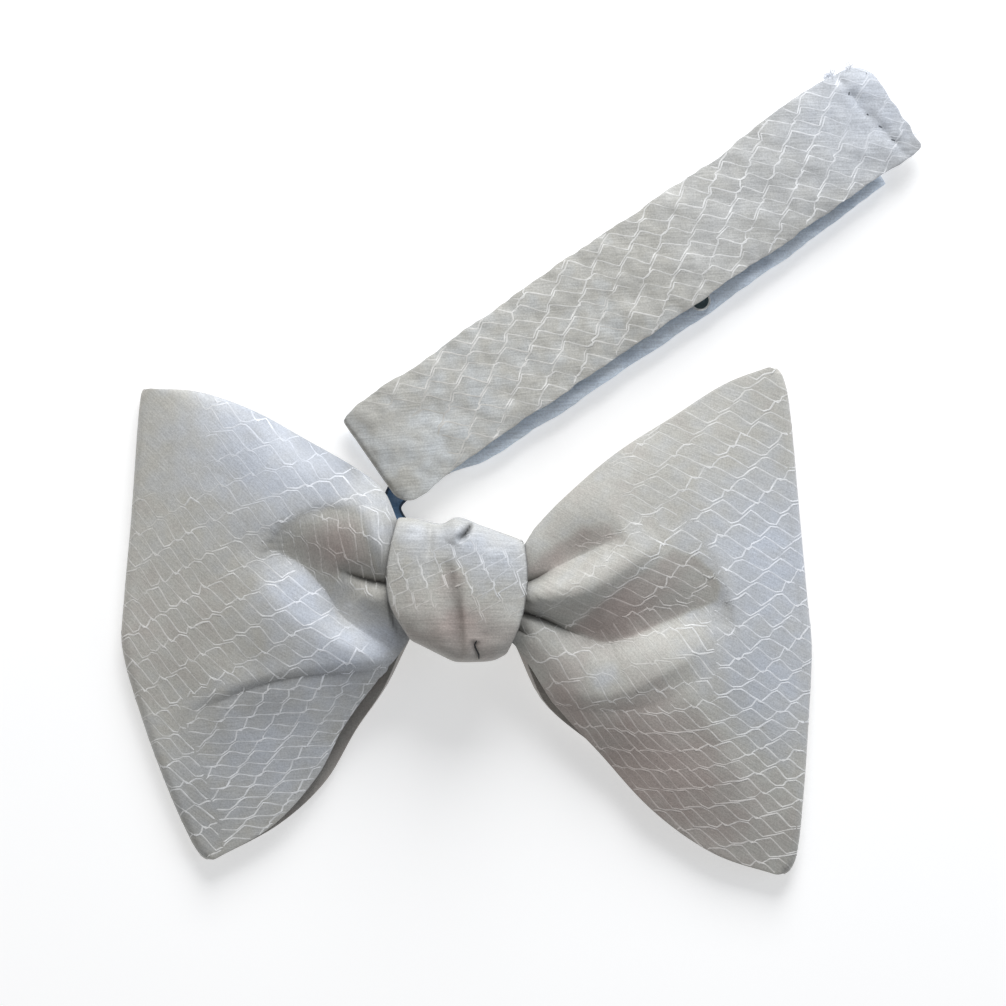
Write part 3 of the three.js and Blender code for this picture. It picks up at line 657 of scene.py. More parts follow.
def band_point(along, beside, z):
    """Place at a distance along the band's line and beside it."""
    x = BAND_START[0] + along * np.cos(BAND_ANGLE) - beside * np.sin(BAND_ANGLE)
    y = BAND_START[1] + along * np.sin(BAND_ANGLE) + beside * np.cos(BAND_ANGLE)
    return np.stack(np.broadcast_arrays(x, y, z), -1)


def from_band_line(x, y):
    """How far along the band's line and beside it each place lies."""
    away_x, away_y = x - BAND_START[0], y - BAND_START[1]
    along = away_x * np.cos(BAND_ANGLE) + away_y * np.sin(BAND_ANGLE)
    return along, -away_x * np.sin(BAND_ANGLE) + away_y * np.cos(BAND_ANGLE)


def run_places(rows, along):
    """One straight run of the band, with its slight puckers."""
    down = np.linspace(0, 1, BAND_ACROSS_STEPS + 1)[None, :]
    up, low, z = (on_curve(rows, column, along)[:, None] for column in ("up", "low", "z"))
    along = along[:, None]
    edge = np.abs(2 * down - 1)
    beside = up + (low - up) * down + waves(along, np.zeros((1, 1)), RUN_WAVER) * edge**3
    from_hem = (along - HEM_ALONG - HEM_SLANT * beside) / HEM_WIDTH
    hem = (waves(along, beside, HEM_WAVES) - HEM_SINK) * np.exp(-(from_hem**2)) * HEM_DEPTH
    height = z + waves(along, beside, RUN_PUCKERS) + BAND_CROWN * (1 - edge**4) + hem
    at_end = blend_step(END_WAVE_BEGINS, TOP_RUN["at"][-1], along)
    return band_point(along + waves(0 * beside, beside, END_WAVES) * at_end, beside, height)


def turn_places(upper, lower, sign):
    """Fold between two runs: a half round from the upper run's last row out and down to the lower's first."""
    turn = (np.arange(1, TURN_STEPS) / TURN_STEPS)[:, None, None]
    radius = (upper[:, 2] - lower[:, 2]) / 2
    outward = sign * np.array([np.cos(BAND_ANGLE), np.sin(BAND_ANGLE), 0])
    rows = upper + (lower - upper) * turn
    rows[..., 2] = lower[:, 2] + radius * (1 + np.cos(turn[..., 0] * np.pi))
    return rows + outward * (radius * np.sin(turn[..., 0] * np.pi))[..., None]


def bottom_places():
    """The lowest run and its gathered root."""
    at = np.linspace(0, 1, 2 * LOWER_RUN_STEPS + 1)

    def centre(where):
        along, beside = (on_curve(BOTTOM_RUN, axis, where) for axis in ("along", "beside"))
        return band_point(along, beside, BOTTOM_RUN_Z)

    heading = centre(np.minimum(at + 0.01, 1)) - centre(np.maximum(at - 0.01, 0))
    heading /= np.linalg.norm(heading, axis=-1, keepdims=True)
    side = np.stack([heading[:, 1], -heading[:, 0], np.zeros(len(at))], -1)
    across = 0.5 - np.linspace(0, 1, BAND_ACROSS_STEPS + 1)
    width = on_curve(BOTTOM_RUN, "width", at)
    return centre(at)[:, None] + side[:, None] * (width[:, None] * across)[..., None]


def band_places():
    """Neck band: three runs on each other and the root, one ribbon."""
    top = run_places(TOP_RUN, np.linspace(TOP_RUN["at"][-1], TOP_RUN["at"][0], TOP_RUN_STEPS + 1))
    middle_at = np.linspace(MIDDLE_RUN["at"][0], MIDDLE_RUN["at"][-1], LOWER_RUN_STEPS + 1)
    middle = run_places(MIDDLE_RUN, middle_at)
    bottom = bottom_places()
    first_turn = turn_places(top[-1], middle[0], -1)
    second_turn = turn_places(middle[-1], bottom[0], 1)
    places = np.concatenate([top, first_turn, middle, second_turn, bottom])
    end, near_row = TOP_RUN_STEPS + TURN_STEPS // 2, TOP_RUN_STEPS - BAND_CORNER_ROWS
    for (edge, inner), radius in zip(BAND_SIDES, BAND_CORNER_RADII):
        sides = (places[near_row, edge, :2].copy(), places[end, inner, :2].copy())
        corner = places[end, edge, :2].copy()
        round_corner(places[near_row:TOP_RUN_STEPS + TURN_STEPS + 3], corner, sides, radius)
    for (edge, inner), radius in zip(BAND_SIDES, END_CORNER_RADII):
        sides = (places[BAND_CORNER_ROWS, edge, :2].copy(), places[0, inner, :2].copy())
        round_corner(places[:BAND_CORNER_ROWS], places[0, edge, :2].copy(), sides, radius)
    return places


def outward_normals(places, row):
    """Unit normals of a grid of places, turned so that they point up in the middle of a row."""
    normals = np.cross(np.gradient(places, axis=0), np.gradient(places, axis=1))
    normals /= np.maximum(np.linalg.norm(normals, axis=-1, keepdims=True), 1e-9)
    return normals if normals[row, places.shape[1] // 2, 2] > 0 else -normals


def set_marks(mesh, **marks):
    """Attributes with a value at each vertex."""
    for label, values in marks.items():
        made = mesh.attributes.new(label, "FLOAT", "POINT")
        made.data.foreach_set("value", values.astype(np.float32))


def dress(piece, material, replaced):
    """Gives a piece its satin or metal, and its place in the frame."""
    piece.data.materials.append(material)
    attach(piece, "root")
    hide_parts(replaced)


def cloth_piece(name, places, weave, tones, shades, thickness, offset=0, closed=False):
    """A cloth wall over a grid of places. Its map holds the weave's own millimetres, tone its tint with
    painted light and shade, and shade how much darker painted shade makes its creases and hidden parts."""
    rows, columns = places.shape[:2]
    bpy.ops.object.select_all(action="DESELECT")
    bpy.ops.mesh.primitive_grid_add(x_subdivisions=columns - 1, y_subdivisions=rows - 1, size=1)
    piece = bpy.context.object
    piece.name = name
    mesh = piece.data
    flat = np.empty(len(mesh.vertices) * 3)
    mesh.vertices.foreach_get("co", flat)
    flat = flat.reshape(-1, 3)
    column = np.rint((flat[:, 0] + 0.5) * (columns - 1)).astype(int)
    row = np.rint((flat[:, 1] + 0.5) * (rows - 1)).astype(int)
    mesh.vertices.foreach_set("co", in_frame(places[row, column]).ravel())
    set_marks(mesh, tone=np.clip(tones[row, column], 0, 1), shade=np.clip(shades[row, column], 0, 1))
    corner = np.empty(len(mesh.loops), dtype=int)
    mesh.loops.foreach_get("vertex_index", corner)
    mesh.uv_layers[0].name = "weave"
    mesh.uv_layers[0].data.foreach_set("uv", (weave[row, column][corner] * MM * WEAVE_SCALE).ravel())
    bpy.ops.object.mode_set(mode="EDIT")
    bpy.ops.mesh.select_all(action="SELECT")
    if closed:
        bpy.ops.mesh.remove_doubles(threshold=0.02 * MM)
    bpy.ops.mesh.normals_make_consistent(inside=False)
    bpy.ops.object.mode_set(mode="OBJECT")
    wall = piece.modifiers.new("wall", "SOLIDIFY")
    wall.thickness = thickness * MM
    wall.offset = offset
    wall.use_rim = True
    rim = piece.modifiers.new("rim", "BEVEL")
    rim.width = RIM_ROUNDING * MM
    rim.segments = 2
    rim.limit_method = "ANGLE"
    rim.angle_limit = RIM_ANGLE
    for modifier in ("wall", "rim"):
        bpy.ops.object.modifier_apply(modifier=modifier)
    bpy.ops.object.shade_smooth()
    return piece


def net_map(eyes):
    """Smooth map from the layout to counts of rises and falls, through a patch's eyes."""
    eyes = np.array(eyes, dtype=float)
    places = eyes[:, :2] / NET_SPAN
    size = len(eyes)

    def bending(px, py):
        apart = (px[..., None] / NET_SPAN - places[:, 0]) ** 2
        apart = apart + (py[..., None] / NET_SPAN - places[:, 1]) ** 2
        return apart * np.log(np.maximum(apart, 1e-12))

    def flat(px, py):
        return np.stack([np.ones_like(px), px / NET_SPAN, py / NET_SPAN], -1)

    system = np.zeros((size + 3, size + 3))
    system[:size, :size] = bending(eyes[:, 0], eyes[:, 1])
    system[:size, size:] = flat(eyes[:, 0], eyes[:, 1])
    system[size:, :size] = system[:size, size:].T
    weights = np.linalg.solve(system, np.concatenate([eyes[:, 2:], np.zeros((3, 2))]))

    def net_steps(px, py):
        return bending(px, py) @ weights[:size] + flat(px, py) @ weights[size:]

    return net_steps


def even_eyes(x):
    """Three eyes of a net that runs evenly from one place along the bow."""
    rise, fall = ((length * np.cos(angle), length * np.sin(angle)) for length, angle in (NET_RISE, NET_FALL))
    return ((x, 0, 0, 0), (x + rise[0], rise[1], 1, 0), (x + fall[0], fall[1], 0, 1))


def thread_path(eye, first, last, offset, moods):
    """A thread in steps of the net, and the part that each point is of. From eye to eye it passes the lower
    side of one, falls to the next, passes that one's upper side and rises to the one above."""
    reach, opening = np.array(eye.reach), np.array(eye.opening)
    lower, upper = (1.0, 1.0, 1.0, 1.0), (-1.0, -1.0, -1.0, -1.0)
    crossed_lower, crossed_upper = (-1.0, -0.3, 0.7, 1.2), (-1.2, 0.9, 0.7, -1.0)
    along_eye = np.array([-1.0, -0.35, 0.35, 1.0])[:, None]

    def pass_by(count_rise, count_fall, plain, crossed):
        mood = moods[int(count_rise) % len(moods), int(count_fall) % len(moods[0])]
        centre = np.array([count_rise + EYE_STRAY[0] * mood[0], count_fall + EYE_STRAY[1] * mood[1]])
        side = np.array(crossed if mood[4] < CROSSED_EYES else plain)[:, None]
        way = reach * (1 + EYE_STRETCH * mood[3]) + EYE_TILT * mood[2] * opening
        return centre + way * along_eye + opening * side * (EYE_GAPE[0] + EYE_GAPE[1] * mood[5])

    def link(start, end, pull, count):
        t = np.linspace(0, 1, count + 2)[1:-1, None]
        return start + (end - start) * t + pull * reach * (t - 3 * t**2 + 2 * t**3)

    points, parts = [], []
    for turn in range(first, last):
        start = pass_by(turn + offset, turn, lower, crossed_lower)
        middle = pass_by(turn + offset, turn + 1, upper, crossed_upper)
        end = pass_by(turn + offset + 1, turn + 1, lower, crossed_lower)
        fall = link(start[-1], middle[0], FALL_PULL, FALL_POINTS)
        rise = link(middle[-1], end[0], RISE_PULL, RISE_POINTS)
        for stretch, part in ((start, EYE_PART), (fall, FALL_PART), (middle, EYE_PART), (rise, RISE_PART)):
            points.append(stretch)
            parts += [part] * len(stretch)
    return np.concatenate(points), parts


def strand_rings(points, ups, half_widths, height):
    """Four places round each point of a strand, for its flattened section."""
    tangent = np.gradient(points, axis=0)
    tangent /= np.maximum(np.linalg.norm(tangent, axis=1, keepdims=True), 1e-9)
    side = np.cross(tangent, ups)
    side /= np.maximum(np.linalg.norm(side, axis=1, keepdims=True), 1e-9)
    across, above = side * half_widths[:, None], ups * height
    return np.stack([points + across, points + above, points - across, points - above], 1)


def strand_mesh(name, strands, material, **marks):
    """One mesh of thin closed strands, each given as its rings. Marks are values at each ring."""
    vertices, faces = np.concatenate([rings.reshape(-1, 3) for rings in strands]), []
    first = 0
    for rings in strands:
        for ring in range(len(rings) - 1):
            start = first + 4 * ring
            for edge in range(4):
                other = (edge + 1) % 4
                faces.append((start + edge, start + 4 + edge, start + 4 + other, start + other))
        last = first + 4 * (len(rings) - 1)
        faces.append((first, first + 1, first + 2, first + 3))
        faces.append((last + 3, last + 2, last + 1, last))
        first += 4 * len(rings)
    mesh = bpy.data.meshes.new(name)
    mesh.from_pydata(in_frame(vertices), [], faces)
    mesh.update()
    set_marks(mesh, **{label: np.repeat(np.concatenate(values), 4) for label, values in marks.items()})
    piece = bpy.data.objects.new(name, mesh)
    bpy.context.scene.collection.objects.link(piece)
    mesh.materials.append(material)
    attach(piece, "root")
    return piece


def place_finder(steps, inside):
    """Finds the grid place of any place of the net, and the rest of the way. Off the patch it finds none."""
    rows, columns = np.nonzero(inside)
    tree = KDTree(len(rows))
    for index, (row, column) in enumerate(zip(rows, columns)):
        tree.insert((*(steps[row, column] * NET_SCALE), 0), index)
    tree.balance()
    by_row, by_column = np.gradient(steps, axis=0), np.gradient(steps, axis=1)
    last_place = np.array(inside.shape) - 1

    def find(place):
        _, index, _ = tree.find((*(place * NET_SCALE), 0))
        row, column = rows[index], columns[index]
        slope = np.stack([by_row[row, column], by_column[row, column]], -1)
        if abs(np.linalg.det(slope)) < 1e-7:
            return None
        step = np.linalg.solve(slope, place - steps[row, column])
        reached = np.array([row, column]) + step
        if (reached < 0).any() or (reached > last_place).any() or np.abs(step).max() > LONGEST_STEP:
            return None
        return (row, column, step) if inside[tuple(np.rint(reached).astype(int))] else None

    return find


def net_threads(name, cloth, steps, inside, show, eye, seed):
    """Threads of the net over one patch of cloth."""
    random = np.random.default_rng(seed)
    moods = random.normal(0, 1, (*EYE_MOODS, 6))
    moods[..., 4:] = random.uniform(0, 1, (*EYE_MOODS, 2))
    skin, normals, tones = cloth
    skin_row, skin_column = np.gradient(skin, axis=0), np.gradient(skin, axis=1)
    find = place_finder(steps, inside)
    low, high = np.floor(steps[inside].min(0)).astype(int), np.ceil(steps[inside].max(0)).astype(int)
    strands, strand_tones, strand_glows = [], [], []

    def finish(found):
        if len(found) >= LEAST_POINTS:
            points, ups, widths, painted_tints, glows = (np.array(values) for values in zip(*found))
            widths[[0, -1]] *= THREAD_END
            points[[0, -1]] -= ups[[0, -1]] * THREAD_HEIGHT
            strands.append(strand_rings(points, ups, THREAD_HALF_WIDTH * widths, THREAD_HEIGHT))
            strand_tones.append(painted_tints)
            strand_glows.append(glows)

    for offset in range(low[0] - high[1] - 1, high[0] - low[1] + 2):
        first = max(low[1], low[0] - offset) - 1
        last = min(high[1], high[0] - offset) + 1
        if last <= first:
            continue
        path, parts = thread_path(eye, first, last, offset, moods)
        knots = np.arange(0, len(path) + POINTS_A_CHANGE + 1, POINTS_A_CHANGE)
        vary = np.interp(np.arange(len(path)), knots, random.normal(0, 1, len(knots)))
        found = []
        for place, part, change in zip(path, parts, vary):
            here = find(place)
            if here is not None:
                row, column, step = here
                glow = part.glow * np.clip(show[row, column] * (1 + GLOW_CHANGE * change), 0, MOST_GLOW)
                if glow > LEAST_GLOW:
                    spot = skin[row, column] + skin_row[row, column] * step[0]
                    spot = spot + skin_column[row, column] * step[1]
                    up = normals[row, column]
                    raised = (part.lift + LIFT_CHANGE * change) * glow
                    width = part.width * (1 + WIDTH_CHANGE * change)
                    found.append((spot + up * raised, up, width, tones[row, column], glow))
                    continue
            finish(found)
            found = []
        finish(found)
    return strand_mesh(name, strands, net_thread, tone=strand_tones, glow=strand_glows)


def soft_patches(x, y, patches):
    """Sum of soft round patches, each a place, its half width and its strength."""
    total = np.zeros_like(x)
    for px, py, width, strength in patches:
        total += strength * np.exp(-((x - px) ** 2 + (y - py) ** 2) / width**2)
    return total


def set_inputs(made, inputs):
    """Sets a node's inputs by name."""
    for label, value in inputs.items():
        made.inputs[label.replace("_", " ")].default_value = value
    return made


def node(tree, kind, **inputs):
    """A new node with its named inputs set."""
    return set_inputs(tree.nodes.new(kind), inputs)


def new_material(name, **inputs):
    """A material, its node tree, and its surface with named inputs set."""
    material = bpy.data.materials.new(name)
    material.use_nodes = True
    tree = material.node_tree
    return material, tree, set_inputs(tree.nodes["Principled BSDF"], inputs)


def noise(tree, **inputs):
    """Noise by place on the piece."""
    made = node(tree, "ShaderNodeTexNoise", **inputs)
    place = tree.nodes.new("ShaderNodeTexCoord")
    tree.links.new(place.outputs["Object"], made.inputs["Vector"])
    return made.outputs["Fac"]


def attribute(tree, label):
    """Value of one of the piece's attributes."""
    made = tree.nodes.new("ShaderNodeAttribute")
    made.attribute_name = label
    return made.outputs["Fac"]


def ranged(tree, value, to_low, to_high, low=0.3, high=0.7):
    """A value between low and high, brought to another range. Most noise lies between 0.3 and 0.7."""
    made = node(tree, "ShaderNodeMapRange", From_Min=low, From_Max=high, To_Min=to_low, To_Max=to_high)
    tree.links.new(value, made.inputs["Value"])
    return made.outputs["Result"]


def sum_or_product(tree, operation, first, second):
    """Two values added or multiplied."""
    made = tree.nodes.new("ShaderNodeMath")
    made.operation = operation
    tree.links.new(first, made.inputs[0])
    tree.links.new(second, made.inputs[1])
    return made.outputs[0]


def scaled(tree, colour, level):
    """A colour made lighter or darker."""
    made = tree.nodes.new("ShaderNodeVectorMath")
    made.operation = "SCALE"
    tree.links.new(colour, made.inputs[0])
    tree.links.new(level, made.inputs["Scale"])
    return made.outputs["Vector"]


def colour_ramp(tree, value, first, last, *between):
    """Colour by a value: the first at 0, the last at 1, and others at places between."""
    made = tree.nodes.new("ShaderNodeValToRGB")
    elements = made.color_ramp.elements
    elements[0].color, elements[1].color = (*first, 1), (*last, 1)
    for place, colour in between:
        elements.new(place).color = (*colour, 1)
    tree.links.new(value, made.inputs["Fac"])
    return made.outputs["Color"]


def add_relief(tree, surface, height, strength, distance):
    """Fine relief on a surface."""
    relief = node(tree, "ShaderNodeBump", Strength=strength, Distance=distance * MM)
    tree.links.new(height, relief.inputs["Height"])
    tree.links.new(relief.outputs["Normal"], surface.inputs["Normal"])


# Tones of the cloths' plain upper side and of the band's lower runs, the tone of their painted shade blue
PLAIN_TONE = 0.5
UNDER_TONE = 0.2


def tone_ramp(tree, tone, brown, warm, cool, *others):
    """Colour by the cloth's tone: brown painted shade at 0, the warm plain grey at the plain tone, cool
    painted light at 1.
    """
    return colour_ramp(tree, tone, brown, cool, (PLAIN_TONE, warm), *others)


def satin(name, warm, cool, brown, slub, hue=0.09, under=None):
    """Satin: warm grey, cool painted light and brown painted shade by tone, fine weft slubs, a fine weave,
    soft sheen.
    """
    sheen = {"Sheen_Weight": 0.15, "Sheen_Roughness": 0.35}
    material, tree, surface = new_material(name, Specular_IOR_Level=0.4, **sheen)
    link = tree.links.new
    weave = tree.nodes.new("ShaderNodeUVMap")
    weave.uv_map = "weave"
    slub_map = node(tree, "ShaderNodeMapping", Scale=SLUB_SCALE)
    slub_noise = node(tree, "ShaderNodeTexNoise", Scale=1.0, Detail=3.0, Roughness=0.6)
    link(weave.outputs["UV"], slub_map.inputs["Vector"])
    link(slub_map.outputs["Vector"], slub_noise.inputs["Vector"])
    slubs = slub_noise.outputs["Fac"]
    fine = noise(tree, Scale=2600.0, Detail=2.0, Roughness=0.55)
    drift = noise(tree, Scale=75.0, Detail=3.0, Roughness=0.55)
    hues = noise(tree, Scale=210.0, Detail=1.0)

    level = ranged(tree, slubs, 1 - slub, 1 + slub)
    for change in (
        ranged(tree, fine, 1 - SATIN_GRAIN, 1 + SATIN_GRAIN),
        ranged(tree, drift, 1 - SATIN_CLOUDS, 1 + SATIN_CLOUDS),
        ranged(tree, attribute(tree, "shade"), 1, DEEPEST_SHADE, 0, 1),
    ):
        level = sum_or_product(tree, "MULTIPLY", level, change)
    tone = sum_or_product(tree, "ADD", attribute(tree, "tone"), ranged(tree, hues, -hue, hue))
    tint = tone_ramp(tree, tone, brown, warm, cool, *([(UNDER_TONE, under)] if under else []))
    link(scaled(tree, tint, level), surface.inputs["Base Color"])
    link(ranged(tree, slubs, *SATIN_ROUGHNESS), surface.inputs["Roughness"])
    add_relief(tree, surface, sum_or_product(tree, "ADD", slubs, fine), 0.5, 0.06)
    return material


def net_yarn(name, brown, warm, cool, ground=None):
    """Twisted thread, a little lighter and darker along its way. A low glow brings it near its ground."""
    material, tree, surface = new_material(name, Roughness=0.55, Sheen_Weight=0.2)
    tone = attribute(tree, "tone")
    colour = tone_ramp(tree, tone, brown, warm, cool)
    if ground:
        blend = tree.nodes.new("ShaderNodeMixRGB")
        tree.links.new(attribute(tree, "glow"), blend.inputs["Fac"])
        tree.links.new(tone_ramp(tree, tone, *ground), blend.inputs["Color1"])
        tree.links.new(colour, blend.inputs["Color2"])
        colour = blend.outputs["Color"]
    fleck = noise(tree, Scale=700.0, Detail=2.0)
    tree.links.new(scaled(tree, colour, ranged(tree, fleck, 0.86, 1.10)), surface.inputs["Base Color"])
    add_relief(tree, surface, fleck, 0.3, 0.05)
    return material


def metal(name, dark, pale, low_roughness):
    """Metal with fine clouds in its colour and its shine."""
    material, tree, surface = new_material(name, Metallic=0.85)
    cloud = noise(tree, Scale=1500.0, Detail=3.0)
    tree.links.new(colour_ramp(tree, cloud, dark, pale), surface.inputs["Base Color"])
    wear = ranged(tree, cloud, low_roughness, low_roughness + 0.2, 0, 1)
    tree.links.new(wear, surface.inputs["Roughness"])
    return material


# Satin: scale of its slubs along the weft, how strong its grain and its clouds are, its least and most
# roughness, and what a full shade leaves of its brightness
SLUB_SCALE = (250, 14, 1)
SATIN_GRAIN = 0.13
SATIN_CLOUDS = 0.035
SATIN_ROUGHNESS = (0.43, 0.57)
DEEPEST_SHADE = 0.12
# Colours of the cloths: the warm grey is the satin's own, the cool grey painted cool light, the brown painted
# shade
WARM_GREY = (0.505, 0.497, 0.460)
COOL_PAINTED_LIGHT_GREY = (0.540, 0.575, 0.635)
BROWN_PAINTED_SHADE_GREY = (0.430, 0.370, 0.340)
# The band's lower runs and its root are the same satin, painted blue for the cool shade they lie in
UNDER_PAINTED_SHADE_BLUE = (0.74, 0.83, 0.94)
ROOT_PAINTED_SHADE_BLUE = (0.10, 0.19, 0.33)
wing_satin = satin("wing_satin", WARM_GREY, COOL_PAINTED_LIGHT_GREY, BROWN_PAINTED_SHADE_GREY, slub=0.09)
knot_satin = satin("knot_satin", WARM_GREY, COOL_PAINTED_LIGHT_GREY, BROWN_PAINTED_SHADE_GREY, slub=0.15)
band_satin = satin("band_satin", WARM_GREY, COOL_PAINTED_LIGHT_GREY, ROOT_PAINTED_SHADE_BLUE, slub=0.15, under=UNDER_PAINTED_SHADE_BLUE, hue=0.04)
SATIN_GREYS = (BROWN_PAINTED_SHADE_GREY, WARM_GREY, COOL_PAINTED_LIGHT_GREY)
# The net's threads take the cloth's tone too: a brown end for painted shade and a cool end for painted light
net_thread = net_yarn("net_thread", (0.68, 0.61, 0.57), (0.78, 0.775, 0.75), (0.86, 0.89, 0.95), SATIN_GREYS)
hem_thread_and_hole_shade = net_yarn("hem_thread_and_hole_shade", (0.10, 0.11, 0.13), (0.11, 0.12, 0.14), (0.12, 0.13, 0.15))
dark_thread = net_yarn("dark_thread", (0.02, 0.022, 0.025), (0.025, 0.027, 0.03), (0.03, 0.034, 0.04))
gunmetal = metal("gunmetal", (0.05, 0.075, 0.085), (0.11, 0.15, 0.165), 0.25)
rim_metal = metal("rim_metal", (0.75, 0.77, 0.79), (0.92, 0.94, 0.96), 0.35)

# Painted light and shade on each cloth: a place, its half width, and how much cooler and lighter (above 0) or
# browner it is
LEFT_PAINTED_LIGHT = (
    (-32, 29, 18, 0.5), (-48, 34, 14, 0.25), (-35, -2, 7, 0.5), (-25, -14, 9, 0.45), (-40, -34, 17, 0.32),
    (-18, 12, 5, 0.3), (-24, 11, 6, -0.5), (-30, 9, 5, -0.25), (-66, -10, 18, -0.08), (-60, -46, 12, 0.1),
    (-15.5, -11.5, 4.5, 0.5),
)
RIGHT_PAINTED_LIGHT = (
    (32, -20.5, 5, 0.4), (70, 8, 17, 0.45), (68, -22, 15, 0.36), (37, -4, 6, -0.25), (30, -8, 5, -0.2),
    (38, -37, 16, -0.45), (24, -24, 8, -0.3), (55, -52, 16, -0.25), (52, -38, 10, -0.15),
)
KNOT_PAINTED_LIGHT = (
    (2, 11, 8, 0.3), (11, 6, 7, 0.3), (-7, -9, 8, -0.2), (-9, 12, 6, 0.2), (6, -13, 9, -0.3),
    (-0.6, 2, 3, -0.4), (0.4, -7, 3, -0.5),
)
BAND_PAINTED_LIGHT = (
    (92, 108, 22, 0.46), (62, 82, 18, 0.12), (40, 58, 12, -0.02), (5, 45, 16, -0.03), (-8, 30, 12, -0.05),
)
BACK_BROWNER = 0.2

# Hollows whose cloth faces away from the window, with shade painted in: how much browner and darker the
# painted shade makes them, how soft its edge is, and their outline
Hollow = namedtuple("Hollow", "tone dull soft outline")
LEFT_HOLLOWS = (
    Hollow(-0.12, 0.0, 0.6, [
        (-41.5, 9.6), (-38.1, 13.9), (-34.3, 16.3), (-27.7, 18.3), (-22.4, 18.0), (-20.9, 16.3),
        (-19.6, 12.1), (-18.7, 8.8), (-15.4, 1.6), (-19, 2.2), (-25.1, 4.4), (-27.6, -1.6),
        (-30.4, 1.2), (-34, 5.4),
    ]),
)
RIGHT_HOLLOWS = (
    Hollow(-0.25, 0.10, 0.7, [
        (25.4, -8.6), (30.1, -4.2), (37.6, 1.7), (44.4, 5.9), (47.8, 8.6), (52, 7.2), (56.2, 3.8),
        (58.3, 0.4), (57.6, -2.7), (50.7, -5.3), (45.2, -7.6), (39.3, -10.7), (34.3, -12.0),
        (30.9, -11.2),
    ]),
    Hollow(-0.3, 0.08, 1.3, [
        (15.5, 3.4), (20, 8.2), (28, 13.4), (33.5, 14), (35.5, 11.2), (28.5, 8.0), (24, 5.4), (18.6, 1.9),
    ]),
)

# Painted shade on the satin: a place, its half width and how much darker it is
LEFT_PAINTED_SHADE = (
    (-42, 39, 6, 0.26), (-31, 33, 5, 0.44), (-23, 27, 5, 0.40), (-57, -52, 13, 0.24), (-17, -8, 4.5, -0.25),
    (-15, -12.5, 4, -0.28), (-20, 3, 3.5, -0.2), (-28, 22.5, 4, 0.12),
)
RIGHT_PAINTED_SHADE = (
    (74, -58, 14, 0.24), (60, -24, 8, 0.14), (66, -38, 9, 0.1), (40, 18, 7, -0.1), (33, -19, 6, -0.3),
)

# Places where the net fades into plain satin: a place, its half width and how much of the net is lost
LEFT_FADES = (
    (-68, 38, 15, 1.0), (-58, 30, 12, 0.45), (-66, 18, 10, 0.5), (-24, -2, 4, 0.9), (-18, -8, 6, 1.0),
    (-72, 0, 9, 0.4), (-66, -30, 8, 0.4), (-62, -46, 8, 0.4), (-36, 27, 14, 0.6), (-48, 8, 13, 0.35),
    (-38, -38, 14, -0.25), (-12.5, -10, 3.5, 1.0),
)
RIGHT_FADES = (
    (22, 14, 12, 1.0), (31, 22, 8, 0.8), (16, 2, 8, 1.0), (46, -14, 7, 0.7), (34, -17, 7, 0.8),
    (28, -4, 6, 0.5), (60, 42, 10, 0.4), (46, 30, 12, 0.4), (44, 20, 8, 0.3), (57.5, 5, 2.5, 0.35),
    (57.5, -1, 2.5, 0.35), (57.5, -7, 2.5, 0.35), (57.5, -13, 2.5, 0.35),
    (57.5, -19, 2.5, 0.35), (59.5, -3.4, 1.5, 1.0), (74, 2, 13, -0.45), (73, -20, 13, -0.35),
    (36, -42, 14, -0.3), (13.5, -11.5, 2.2, 1.0),
)
KNOT_FADES = (
    (-7, -12, 11, 1.0), (6, -15, 9, 1.0), (-11, 14, 8, 1.0), (-2, 15, 7, 1.0), (9, 13, 7, 1.0),
    (-1, -4, 4, 0.6), (13, -9, 6, 0.8),
)
BAND_FADES = ((-9, 27, 13, 1.0), (-17, 34, 10, 1.0), (93, 105, 11, 0.85))
MOST_SHOW = 1.4
SHOW_WAVES = (0.22, 14)


def cloth_show(x, y, fades, seed):
    """How clearly the net shows at each place, from 0 to MOST_SHOW."""
    show = 1.0 - soft_patches(x, y, fades) + waves(x, y, ((*SHOW_WAVES, seed),))
    return np.clip(show, 0, MOST_SHOW)


def area_inside(outline, x, y):
    """True for the places inside an outline."""
    inside = np.zeros(x.shape, dtype=bool)
    for (ax, ay), (bx, by) in zip(outline, outline[1:] + outline[:1]):
        crosses = (ay > y) != (by > y)
        slope = (bx - ax) / (by - ay if by != ay else 1e-9)
        inside ^= crosses & (x < ax + slope * (y - ay))
    return inside


def depth_inside(outline, x, y):
    """How far inside an outline each place lies, below zero outside it."""
    nearest = np.full(x.shape, np.inf)
    for (ax, ay), (bx, by) in zip(outline, outline[1:] + outline[:1]):
        length = (bx - ax) ** 2 + (by - ay) ** 2
        t = np.clip(((x - ax) * (bx - ax) + (y - ay) * (by - ay)) / length, 0, 1)
        nearest = np.minimum(nearest, np.hypot(x - ax - t * (bx - ax), y - ay - t * (by - ay)))
    return np.where(area_inside(outline, x, y), nearest, -nearest)


def hollow_marks(hollows, x, y):
    """How much browner and how much darker the shade painted into the hollows makes each place."""
    tone, dull = np.zeros_like(x), np.zeros_like(x)
    for hollow in hollows:
        share = blend_step(-hollow.soft, hollow.soft, depth_inside(hollow.outline, x, y))
        tone += hollow.tone * share
        dull += hollow.dull * share
    return tone, dull


